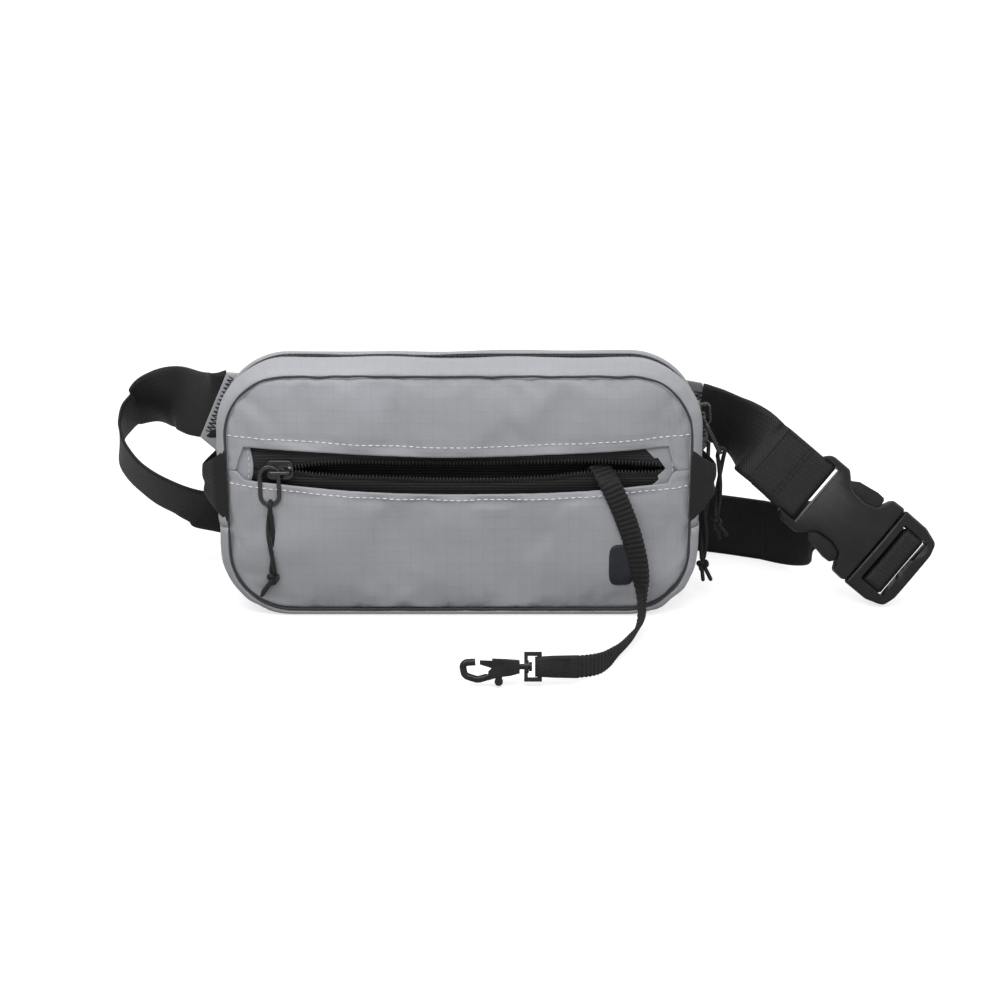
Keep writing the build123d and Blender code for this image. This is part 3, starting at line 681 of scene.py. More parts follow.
def strap_mesh(name, centres, leans, width, thick, rib=None):
    """A flat strap through centres, with the direction of its width at each."""
    rings = []
    places = []
    walked = 0.0
    for i, centre in enumerate(centres):
        ahead = centres[min(i + 1, len(centres) - 1)]
        behind = centres[max(i - 1, 0)]
        along = (ahead - behind).normalized()
        out = along.cross(leans[i]).normalized()
        up = out.cross(along).normalized()
        if i:
            walked += (centre - centres[i - 1]).length
        swell = 0.5 + 0.5 * math.cos(2 * math.pi * walked / rib) if rib else 0.0
        section = strap_profile(width + swell * 0.6, thick + swell * 0.9)
        rings.append([centre + up * a + out * o for a, o in section])
        places.append([(walked, a) for a, _ in section])
    return turned_out(skin(name, rings, places))


def strap(name, stations, width, thick, finish, body, slot, replaces, steps=7):
    """Webbing through stations of (centre, direction of its width)."""
    centres = smooth_run([c for c, _ in stations], steps)
    leans = smooth_run([d for _, d in stations], steps)
    mesh = strap_mesh(name, centres, leans, width, thick)
    return finished(name, mesh, finish, body, replaces)


def tube_mesh(name, centres, radius, sides=10):
    """A round strand along centres, with rounded ends."""
    rings = []
    places = []
    turn = Vector((0.31, 0.83, 0.46))
    walked = 0.0
    total = len(centres) - 1
    for i, centre in enumerate(centres):
        along = (centres[min(i + 1, total)] - centres[max(i - 1, 0)]).normalized()
        turn = (turn - along * turn.dot(along)).normalized()
        side = along.cross(turn)
        if i:
            walked += (centre - centres[i - 1]).length
        size = radius * (0.55 if i in (0, total) else 1.0)
        ring = []
        for k in range(sides):
            a = 2 * math.pi * k / sides
            ring.append(centre + turn * math.cos(a) * size + side * math.sin(a) * size)
        rings.append(ring)
        places.append([(walked, radius * 2 * math.pi * k / sides) for k in range(sides)])
    return turned_out(skin(name, rings, places))


def joined(name, meshes):
    """Several meshes as one."""
    shape = bmesh.new()
    for mesh in meshes:
        shape.from_mesh(mesh)
    result = bpy.data.meshes.new(name)
    shape.to_mesh(result)
    shape.free()
    return result


def spline_points(name, route, steps=12):
    """Points along the smooth line that a route gives, in millimetres."""
    data = bpy.data.curves.new(name, "CURVE")
    data.dimensions = "3D"
    spline = data.splines.new("NURBS")
    spline.points.add(len(route) - 1)
    for point, place in zip(spline.points, route):
        point.co = (*(Vector(place) * MM), 1)
    spline.order_u = 3
    spline.use_endpoint_u = True
    data.resolution_u = steps
    guide = bpy.data.objects.new(name, data)
    bpy.context.scene.collection.objects.link(guide)
    graph = bpy.context.evaluated_depsgraph_get()
    line = bpy.data.meshes.new_from_object(guide.evaluated_get(graph))
    points = [v.co / MM for v in line.vertices]
    bpy.data.objects.remove(guide)
    return points


def run_length(points):
    """Length of a run of points."""
    return sum((b - a).length for a, b in zip(points, points[1:]))


def even(points, spacing):
    """The same run, read at even steps."""
    count = max(int(run_length(points) / spacing), 2)
    step = run_length(points) / count
    result = [points[0]]
    walked = 0.0
    target = step
    for a, b in zip(points, points[1:]):
        length = (b - a).length
        while target <= walked + length + 1e-9 and len(result) < count:
            result.append(a.lerp(b, (target - walked) / length))
            target += step
        walked += length
    return result + [points[-1]]


def smooth_copy(name, node, finish, body, angle=32.0, bevel=0.0):
    """A carried-over solid with its facets merged and its round faces shaded smooth."""
    shape = bmesh.new()
    shape.from_mesh(NODES[node].data)
    bmesh.ops.remove_doubles(shape, verts=shape.verts, dist=2e-6)
    mesh = bpy.data.meshes.new(name)
    shape.to_mesh(mesh)
    shape.free()
    piece = finished(name, mesh, finish, body, (node,))
    mesh.set_sharp_from_angle(angle=math.radians(angle))
    if bevel:
        values = {
            "width": bevel * MM, "segments": 2, "limit_method": "ANGLE", "angle_limit": math.radians(40),
        }
        applied(piece, ("BEVEL", values))
        piece.data.set_sharp_from_angle(angle=math.radians(60))
    return piece


# --- What a user can change ---------------------------------------------------------------------
class BagSizes(bpy.types.PropertyGroup):
    stitch_pitch: FloatProperty(
        name="Stitch Pitch", description="Distance between two topstitches, in millimetres",
        default=2.9, min=1.0, max=6.0)
    tooth_pitch: FloatProperty(
        name="Tooth Pitch", description="Distance between two zip teeth, in millimetres",
        default=1.45, min=0.8, max=3.0)
    leash_width: FloatProperty(
        name="Leash Width", description="Width of the key leash's webbing, in millimetres",
        default=9.4, min=5.0, max=15.0)
    leash_rib: FloatProperty(
        name="Leash Rib", description="Distance between the leash's ribs, in millimetres",
        default=2.3, min=1.0, max=5.0)
    cord_strand: FloatProperty(
        name="Cord Strand", description="Diameter of one strand of a pull cord, in millimetres",
        default=1.9, min=1.0, max=3.0)


class BagColours(bpy.types.PropertyGroup):
    cloth: FloatVectorProperty(
        name="Ripstop", description="Colour of the ripstop cloth",
        subtype="COLOR", default=(0.245, 0.248, 0.266))
    wing: FloatVectorProperty(
        name="Wings", description="Colour of the cloth of the belt wings",
        subtype="COLOR", default=(0.26, 0.263, 0.278))
    webbing: FloatVectorProperty(
        name="Webbing", description="Colour of the belt and loops",
        subtype="COLOR", default=(0.006, 0.006, 0.0065))
    plastic: FloatVectorProperty(
        name="Buckle", description="Colour of the buckle",
        subtype="COLOR", default=(0.006, 0.006, 0.0065))
    thread: FloatVectorProperty(
        name="Thread", description="Colour of the topstitching",
        subtype="COLOR", default=(0.72, 0.72, 0.75))


FINISHES = {}


def finishes():
    """The bag's finishes, made once."""
    if FINISHES:
        return FINISHES
    colour = bpy.context.scene.bag_colours
    cloth, wing, webbing = tuple(colour.cloth), tuple(colour.wing), tuple(colour.webbing)
    plastic, thread = tuple(colour.plastic), tuple(colour.thread)
    FINISHES.update(
        cloth=ripstop_finish("Ripstop", cloth),
        wing=ripstop_finish("Wing Cloth", wing),
        wing_dark=ripstop_finish("Wing Cloth In Shade", shade(wing, 0.45)),
        # The seam line: the cloth's colour darkened, painted shade of the seam groove.
        seam=thread_finish("Seam Shade Line", shade(cloth, 0.16)),
        webbing=webbing_finish("Belt Webbing", webbing),
        leash=webbing_finish("Leash Webbing", shade(webbing, 0.8), 0.0008),
        tape=tape_finish("Zip Tape", (0.010, 0.010, 0.011)),
        coil=moulded_finish("Zip Coil", (0.012, 0.012, 0.013), 0.34, 0.02),
        liner=tape_finish("Lining", (0.006, 0.006, 0.007)),
        plastic=moulded_finish("Buckle Acetal", plastic, 0.36, 0.035),
        metal=moulded_finish("Black Enamel", (0.010, 0.010, 0.011), 0.2, 0.01, coat=0.6),
        hook=moulded_finish("Cast Hook", (0.016, 0.016, 0.017), 0.3, 0.03, metallic=0.5),
        cord=thread_finish("Braided Cord", (0.010, 0.010, 0.011), 0.0014),
        thread=thread_finish("White Thread", thread),
        black_thread=thread_finish("Black Thread", (0.010, 0.010, 0.011)),
        rubber=moulded_finish("Rubber", (0.012, 0.013, 0.018), 0.5, 0.03),
        back=mesh_back_finish("Air Mesh", (0.09, 0.09, 0.095)),
    )
    return FINISHES


# --- Stage --------------------------------------------------------------------------------------
class BELTBAG_OT_stage(bpy.types.Operator):
    """Sets the pale floor, the soft studio lights and the camera"""
    bl_idname = "beltbag.stage"
    bl_label = "Stage"

    def light(self, name, place, target, size, power, colour=(1, 1, 1)):
        """A lamp that the camera doesn't see, aimed at a target."""
        lamp = bpy.data.lights.new(name, "AREA")
        lamp.shape = "RECTANGLE"
        lamp.size, lamp.size_y = size
        lamp.energy = power
        lamp.color = colour
        holder = bpy.data.objects.new(name, lamp)
        bpy.context.scene.collection.objects.link(holder)
        holder.location = place
        holder.rotation_euler = (Vector(target) - Vector(place)).to_track_quat("-Z", "Y").to_euler()
        holder.visible_camera = False

    def execute(self, context):
        """Set the stage."""
        scene = bpy.context.scene
        scene.view_settings.view_transform = "Standard"
        camera = bpy.data.cameras.new("Camera")
        camera.lens = 66.24
        camera.sensor_width = 36.0
        holder = bpy.data.objects.new("Camera", camera)
        scene.collection.objects.link(holder)
        holder.location = (0.0178, -0.7824, 0.3150)
        holder.rotation_euler = (math.radians(71.0), 0, 0)
        scene.camera = holder

        floor = Finish("Floor", roughness=0.9, specular_ior_level=0.1)
        grain = floor.speckle(floor.place(), 40.0)
        floor.set(base_color=floor.mix(grain, (0.42, 0.42, 0.42), (0.44, 0.44, 0.44)))
        seen = floor.add("ShaderNodeLightPath")
        floor.set(emission_color=(1, 1, 1, 1), emission_strength=seen * 0.70)
        sheet = bpy.data.meshes.new("Floor")
        shape = bmesh.new()
        bmesh.ops.create_grid(shape, x_segments=2, y_segments=2, size=6.0)
        shape.to_mesh(sheet)
        shape.free()
        sheet.materials.append(floor.material)
        ground = bpy.data.objects.new("Floor", sheet)
        scene.collection.objects.link(ground)

        world = bpy.data.worlds.new("Studio")
        scene.world = world
        world.use_nodes = True
        world.node_tree.nodes["Background"].inputs[0].default_value = (1, 1, 1, 1)
        world.node_tree.nodes["Background"].inputs[1].default_value = 0.72
        self.light("Overhead", (-0.1, 0.2, 1.1), (0, 0, 0.05), (1.3, 0.9), 5.0)
        self.light("Front", (-0.06, -0.24, 0.32), (0, 0, 0.07), (0.5, 0.1), 1.3)
        self.light("Side", (0.95, -0.2, 0.6), (0.1, 0, 0.05), (0.35, 0.6), 2.4)
        return {"FINISHED"}


# --- Cords --------------------------------------------------------------------------------------
LEASH_ROUTE = [
    (61.0, -22.4, 69.0), (63.6, -29.6, 66.4), (67.6, -31.0, 58.6), (72.0, -30.6, 48.4),
    (75.8, -30.6, 37.4), (78.6, -30.9, 26.2), (80.0, -32.6, 15.6), (79.9, -38.4, 7.4),
    (78.4, -47.8, 5.0), (74.8, -58.6, 4.8), (69.6, -69.6, 4.6), (64.2, -80.6, 4.3),
    (57.4, -90.8, 5.0), (48.6, -97.0, 7.3),
]
LEASH_LEANS = [
    (1.0, 0.1, 0.0), (1.0, 0.0, 0.05), (1.0, 0.0, 0.2), (1.0, -0.1, 0.25),
    (0.95, -0.3, 0.2), (0.85, -0.5, 0.2), (0.4, -0.85, 0.4), (0.2, -0.8, 0.6),
    (0.35, -0.35, 0.85), (0.45, 0.0, 0.88), (0.45, 0.15, 0.8), (0.3, 0.3, 0.85),
    (0.15, 0.33, 0.9), (0.0, 0.33, 0.95),
]
LEAN = math.radians(19.0)
FACING = Vector((0, -math.cos(LEAN), math.sin(LEAN)))
HOOK_AT = Vector((26.0, -98.5, 8.0))
HOOK_X = Vector((-1, 0, 0))
HOOK_Y = FACING.cross(HOOK_X)


def in_hook(x, y, z):
    """A point of the hook's own frame."""
    return HOOK_AT + HOOK_X * x + HOOK_Y * y + FACING * z


class BELTBAG_OT_leash(bpy.types.Operator):
    """Makes the key leash, its sewn end and the swivel snap hook"""
    bl_idname = "beltbag.leash"
    bl_label = "Leash And Hook"

    def execute(self, context):
        """Make the leash and its hook."""
        look = finishes()
        sizes = context.scene.bag_sizes
        line = even(spline_points("Leash line", LEASH_ROUTE), 0.4)
        leans = smooth_run(LEASH_LEANS, 10)
        count = len(line) - 1
        widths = [leans[round(i / count * (len(leans) - 1))] for i in range(count + 1)]
        mesh = strap_mesh("Leash", line, widths, sizes.leash_width - 0.5, 0.9, sizes.leash_rib)
        leash = finished("Leash", mesh, look["leash"], "bag", ("leash_webbing",))

        anchor = [
            ((60.6, -16.2, 44), (1, 0, 0)), ((60.6, -16.4, 57), (1, 0, 0)),
            ((60.6, -20.2, 67.6), (1, 0, 0)),
        ]
        strap("Leash Anchor", anchor, 10.0, 1.1, look["leash"], "bag", "leash_webbing", ("leash_anchor",))

        eye = smooth_copy("Swivel Eye", "swivel_eye", look["hook"], "bag", bevel=0.3)
        body = smooth_copy("Hook Body", "hook_body", look["hook"], "snap_hook", bevel=0.35)
        pin = smooth_copy("Hook Pin", "hook_pin", look["hook"], "snap_hook", bevel=0.15)
        gate = smooth_copy("Hook Gate", "hook_gate", look["hook"], "hook_gate", bevel=0.3)
        end = self.sewn_end(look)
        [tuple(p * MM) for p in line]
        return {"FINISHED"}

    def sewn_end(self, look):
        """The leash's end folded round the eye and sewn down."""
        rings = []
        places = []
        for x, half, size in (
            (-23.6, 0.8, 4.5), (-23.0, 1.3, 4.7), (-17, 1.35, 4.6), (-13, 1.7, 4.5), (-10.4, 2.4, 4.3),
            (-8.6, 2.3, 4.2), (-7.0, 1.8, 4.1), (-6.2, 1.2, 4.1), (-6.0, 0.5, 4.0),
        ):
            ring = []
            for k in range(20):
                a = 2 * math.pi * k / 20
                across = math.copysign(abs(math.cos(a)) ** 0.35, math.cos(a)) * size
                out = math.copysign(abs(math.sin(a)) ** 0.6, math.sin(a)) * half
                ring.append(in_hook(x, across, out))
            rings.append(ring)
            places.append([(x, (p - in_hook(x, 0, 0)).dot(HOOK_Y)) for p in ring])
        fine = [smooth_run(column, 3) for column in zip(*rings)]
        places_fine = [smooth_run([(u, v, 0) for u, v in column], 3) for column in zip(*places)]
        rings = [list(row) for row in zip(*fine)]
        places = [[(p.x, p.y) for p in row] for row in zip(*places_fine)]
        mesh = turned_out(skin("Leash Sewn End", rings, places))
        fold = finished("Leash Sewn End", mesh, look["leash"], "bag", ("leash_sewn_end",))
        runs = []
        for across in (-3.3, 3.3):
            runs.append([(in_hook(x, across, 1.75), FACING) for x in (-19.5, -17, -14.5, -12.6)])
        for x in (-19.0, -13.0):
            runs.append([(in_hook(x, y, 1.7), FACING) for y in (-3.3, 0, 3.3)])
        thread = look["black_thread"]
        stitches = beads("Leash Stitches", runs, thread, "bag", 1.6, 1.4, 0.5, 0.4)
        return fold, stitches


TAPE_Y = -23.9
LEG = 4.4
RING_OUT = 3.6
RING_DROP = 14.9
KNOT_R = 3.1


class BELTBAG_OT_pulls(bpy.types.Operator):
    """Makes the zip sliders, their rings, and the knotted pull cords"""
    bl_idname = "beltbag.pulls"
    bl_label = "Sliders And Pulls"

    def pull(self, look, sizes, label, route, across, tail):
        """A doubled cord round a ring's lower wire, with its knot and two short tails."""
        body = {"pocket": "pocket_cord", "main_a": "main_cord_a", "main_b": "main_cord_b"}[label]
        line = even(spline_points(label + " line", route), 0.9)
        radius = sizes.cord_strand / 2
        across = Vector(across).normalized()
        strands = []
        for side in (-1, 1):
            strand = []
            for i, point in enumerate(line):
                share = i / (len(line) - 1)
                along = (line[min(i + 1, len(line) - 1)] - line[max(i - 1, 0)]).normalized()
                other = across.cross(along).normalized()
                turn = 1.35 * math.pi * share
                spread = radius * (1.05 + 0.75 * math.exp(-share * 9))
                strand.append(point + (across * math.cos(turn) + other * math.sin(turn)) * side * spread)
            strands.append(strand)
        top = line[0]
        up = (line[0] - line[2]).normalized()
        loop = []
        for k in range(1, 8):
            a = math.pi * k / 8
            loop.append(top + up * (2.4 * math.sin(a) + 0.4) - across * math.cos(a) * radius * 1.8)
        whole = strands[0][::-1] + loop + strands[1]
        title = {"pocket": "Pocket", "main_a": "Upper", "main_b": "Lower"}[label]
        cord = finished(
            title + " Pull Cord", tube_mesh("cord", whole, radius), look["cord"], body,
            (label + "_pull_cord",),
        )

        heart = line[-1] - Vector((0, 0, KNOT_R * 0.75))
        turns = []
        for k in range(61):
            t = 2 * math.pi * k / 60
            p = Vector((
                math.sin(t) + 2 * math.sin(2 * t), -math.sin(3 * t) * 1.1, math.cos(t) - 2 * math.cos(2 * t),
            ))
            turns.append(heart + p * 0.72)
        meshes = [tube_mesh("turns", turns, radius)]
        tail = Vector(tail)
        for side in (-1, 1):
            lean = across * side * 1.1
            ends = [
                heart - Vector((0, 0, 0.6)) + lean * 0.5, heart + tail * 0.45 + lean,
                heart + tail + lean * 1.7,
            ]
            meshes.append(tube_mesh("tail", smooth_run(ends, 6), radius * 0.98))
        knot = finished(title + " Pull Knot", joined("knot", meshes), look["cord"], body,
                        (label + "_pull_knot",))
        tuple(line[0] * MM)
        [tuple(p * MM) for p in line]

    def execute(self, context):
        """Make the sliders, rings and cords."""
        look = finishes()
        sizes = context.scene.bag_sizes
        px, py, pz = -77.5 - LEG, TAPE_Y - 0.3 - RING_OUT, MID_Z - RING_DROP
        route = [(px, py - 0.2, pz - 1.3), (px - 0.5, py - 1.0, pz - 11), (px + 0.3, py - 1.6, pz - 21),
                 (px + 0.1, py - 1.6, pz - 31.6)]
        self.pull(look, sizes, "pocket", route, (0, 1, 0), (-5.6, 0.6, -8.0))

        for label, origin, angle, tilt, shifts, tail in (
            ("main_a", None, 5.0, 22.0, [(0, 0, 0), (0.1, 0.8, -10), (-0.5, 1.2, -20), (-1.0, 1.0, -30.5)],
             (4.0, 1.0, -7.5)),
            ("main_b", 69.0, 0.0, 3.0, [(0, 0, 0), (0.5, -0.8, -10), (0.3, -1.6, -20), (0.2, -1.8, -31.0)],
             (2.0, -3.6, -6.5)),
        ):
            turn = math.radians(angle)
            out = Vector((math.cos(turn), 0, math.sin(turn)))
            down = Vector((math.sin(turn), 0, -math.cos(turn)))
            start = Vector((105.15, 0, origin)) if origin else Vector((CORNER_X, 0, CORNER_Z)) + out * 30.15
            slant = math.radians(tilt)
            ring_down = down * math.cos(slant) + out * math.sin(slant)
            low = start + down * LEG + out * RING_OUT + ring_down * (RING_DROP + 1.3)
            across = out * math.cos(slant) - down * math.sin(slant)
            self.pull(look, sizes, label, [low + Vector(s) for s in shifts], across, tail)

        for node, body, slot, angle in (
            ("pocket_slider", "pocket_slider", "slider_metal", 40),
            ("main_a_slider", "main_slider_a", "slider_metal", 40),
            ("main_b_slider", "main_slider_b", "slider_metal", 40),
            ("pocket_pull_ring", "pocket_ring", "ring_metal", 60),
            ("main_a_pull_ring", "main_ring_a", "ring_metal", 60),
            ("main_b_pull_ring", "main_ring_b", "ring_metal", 60),
        ):
            name = node.replace("_", " ").title()
            smooth_copy(name, node, look["metal"], body, angle=angle)
        return {"FINISHED"}


# --- The bag's front ----------------------------------------------------------------------------
MOUTH_TOP = [(-73, 68.8), (-52, 71.2), (0, 71.0), (56, 71.6), (86, 70.2)]
MOUTH_LOW = [(-73, 67.2), (-52, 65.0), (0, 63.4), (36, 64.2), (56, 66.5), (86, 66.6)]


def along_mouth(points, spacing=2.0):
    """x and z along one edge of the open zip, with the closed stretches at its ends."""
    run = smooth_run([(x, z, 0) for x, z in points], 12)
    lift = points[0][1] - MID_Z
    run = [Vector((-95, MID_Z + lift * 0.2, 0)), Vector((-80, MID_Z + lift * 0.3, 0))] + run
    return even(run + [Vector((92, MID_Z + (points[-1][1] - MID_Z) * 0.4, 0))], spacing)


class BELTBAG_OT_front(bpy.types.Operator):
    """Makes the front panels, the open pocket with its zip, and the topstitching"""
    bl_idname = "beltbag.front"
    bl_label = "Front And Pocket"

    def tape(self, name, top, finish, node):
        """Zip tape from under the hem to the teeth, curling out a little at the open edge."""
        rings = []
        places = []
        walked = 0.0
        edge = along_mouth(MOUTH_TOP if top else MOUTH_LOW)
        for i, spot in enumerate(edge):
            x, z = spot.x, spot.y
            hem = window_top(x) + 3.0 if top else window_low(x) - 3.0
            if i:
                walked += (spot - edge[i - 1]).length
            ring = []
            for j in range(11):
                share = j / 10
                height = blend_numbers(hem, z, share)
                bow = 1.1 * math.sin(share * math.pi * 0.5) + 0.35 * math.sin(share * math.pi)
                wave = noise.noise(Vector((x * 0.05, share, 2.0 if top else 9.0))) * 0.6 * share
                ring.append((x, -23.2 - bow - wave + 0.2, height))
            rings.append(ring)
            places.append([(walked, p[2]) for p in ring])
        mesh = skin(name, rings, places, closed=False)
        if mesh.polygons[len(mesh.polygons) // 2].normal.y > 0:
            mesh.flip_normals()
        piece = finished(name, mesh, finish, "bag", (node,))
        applied(piece, ("SOLIDIFY", {"thickness": 0.6 * MM, "offset": -1}))

    def stitch_line(self, offset, top):
        """A topstitch along the pocket's hem, sagging with it."""
        run = []
        for i in range(100):
            x = -98.5 + 197 * i / 99
            hem = window_top(x) if top else window_low(x)
            z = hem + offset if top else hem - offset
            run.append(((x, on_cloth(x, z, offset) - 0.15, z), (0, -1, 0)))
        return run

    def execute(self, context):
        """Make the front."""
        look = finishes()
        sizes = context.scene.bag_sizes
        front_panel("Front Upper Panel", True, look["cloth"], ("front_upper_panel",))
        front_panel("Front Lower Panel", False, look["cloth"], ("front_lower_panel",))
        self.tape("Pocket Tape Upper", True, look["tape"], "pocket_zip_tape_upper")
        self.tape("Pocket Tape Lower", False, look["tape"], "pocket_zip_tape_lower")
        for name, points, top, node in (
            ("Pocket Teeth Upper", MOUTH_TOP, True, "pocket_zip_coil_upper"),
            ("Pocket Teeth Lower", MOUTH_LOW, False, "pocket_zip_coil_lower"),
        ):
            rise = 0.2 if top else -0.2
            run = [
                ((p.x, -23.2 if abs(p.x) > 87 else -24.3, p.y + rise), (0, -1, 0))
                for p in along_mouth(points, 1.0)
            ]
            teeth = beads(name, [run], look["coil"], "bag", sizes.tooth_pitch, 1.0, 3.0, 1.9)
            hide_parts(node)
        stops = [
            [((x, -22.6, MID_Z - 2.2), (0, -1, 0)), ((x, -22.6, MID_Z + 2.2), (0, -1, 0))]
            for x in (-90.0, 90.6)
        ]
        ends = beads("Pocket Stops", stops, look["coil"], "bag", 1.1, 1.3, 2.6, 1.8)
        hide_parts("pocket_zip_stops")
        runs = [self.stitch_line(4.4, True), self.stitch_line(2.4, False)]
        beads("Front Topstitch", runs, look["thread"], "bag", sizes.stitch_pitch, 2.3, 0.55, 0.5)
        self.tabs(look, sizes)
        self.liner(look)
        self.patch(look)
        return {"FINISHED"}

    def tabs(self, look, sizes):
        """The cloth tabs over the zip's two ends."""
        for name, edge, node in (
            ("Pocket Tab Left",
             [(-97, 82), (-90.4, 80.6), (-88.9, 71), (-89.2, 66), (-90.8, 60.8), (-97, 61)],
             "pocket_tab_left"),
            ("Pocket Tab Right",
             [(97, 82), (79.5, 78.6), (84.5, 73.2), (86.0, 73.4), (89.5, 68.5), (86.2, 65.2), (86.6, 63.4),
              (82.4, 59.6), (97, 60), (97, 70)],
             "pocket_tab_right"),
        ):
            shape = bmesh.new()
            corners = [shape.verts.new(Vector((x, -25.1, z)) * MM) for x, z in edge]
            shape.faces.new(corners).normal_update()
            bmesh.ops.triangulate(shape, faces=shape.faces)
            bmesh.ops.subdivide_edges(shape, edges=shape.edges, cuts=5, use_grid_fill=True)
            layer = shape.loops.layers.uv.new("Cloth")
            for face in shape.faces:
                for loop in face.loops:
                    loop[layer].uv = (loop.vert.co.x, loop.vert.co.z)
            for vertex in shape.verts:
                x, z = vertex.co.x / MM, vertex.co.z / MM
                vertex.co.y += noise.noise(Vector((x * 0.2, z * 0.2, 5.0))) * 0.35 * MM
            bmesh.ops.recalc_face_normals(shape, faces=shape.faces)
            mesh = bpy.data.meshes.new(name)
            shape.to_mesh(mesh)
            shape.free()
            if mesh.polygons[0].normal.y > 0:
                mesh.flip_normals()
            piece = finished(name, mesh, look["cloth"], "bag", (node,))
            applied(piece, ("SOLIDIFY", {"thickness": 0.9 * MM, "offset": -1}),
                    ("BEVEL", {"width": 0.25 * MM, "segments": 2, "limit_method": "ANGLE"}))
        runs = [[((x, -25.35, z), (0, -1, 0)) for x, z in line] for line in (
            [(92.8, 80.5), (92.4, 70), (92.6, 60.5)], [(-91.0, 79), (-90.6, 70), (-91.4, 62)],
        )]
        pitch = sizes.stitch_pitch * 0.85
        beads("Tab Stitches", runs, look["thread"], "bag", pitch, 1.9, 0.4, 0.35)

    def liner(self, look):
        """The dark pocket bag behind the zip."""
        station = (0, 96.0, 9.0, 103.0, 24.0)
        xs = columns(96.0, 24.0)
        grid = []
        for x in xs:
            low, high = reach(x, station, False), reach(x, station, True)
            line = []
            for j in range(25):
                z = blend_numbers(low, high, 0.5 - 0.5 * math.cos(math.pi * j / 24))
                inside = max(edge_distance(x, z, station), 0)
                ripple = noise.noise(Vector((x * 0.04, z * 0.05, 11.0))) * 1.2
                line.append((x, -23.0 + 7.0 * (1 - math.exp(-(inside / 2.5) ** 1.5)) + min(ripple, 0.4), z))
            grid.append(line)
        mesh = skin("Pocket Lining", grid, [[(x, z) for x, _, z in line] for line in grid], closed=False)
        if mesh.polygons[len(mesh.polygons) // 2].normal.y > 0:
            mesh.flip_normals()
        piece = finished("Pocket Lining", mesh, look["liner"], "bag", ("pocket_liner",))
        applied(piece, ("SOLIDIFY", {"thickness": 0.5 * MM, "offset": -1}))

    def patch(self, look):
        """The small rubber patch, softly raised."""
        half_w, half_h = 5.5, 9.5
        rings = []
        for grow, lift in ((0.0, 0.0), (0.0, 0.5), (-0.35, 0.9), (-1.2, 1.05), (-3.0, 1.1), (-5.2, 1.1)):
            ring = []
            for k in range(40):
                a = 2 * math.pi * (k + 0.5) / 40
                x = math.copysign(abs(math.cos(a)) ** 0.5, math.cos(a)) * (half_w + grow)
                z = math.copysign(abs(math.sin(a)) ** 0.5, math.sin(a)) * (half_h + grow)
                spot = (71 + x, 25.5 + z)
                ring.append((spot[0], on_cloth(*spot, 30) + 0.3 - lift, spot[1]))
            rings.append(ring)
        places = [[(p[0], p[2]) for p in ring] for ring in rings]
        mesh = turned_out(skin("Rubber Patch", rings, places))
        finished("Rubber Patch", mesh, look["rubber"], "bag", ("rubber_patch",))


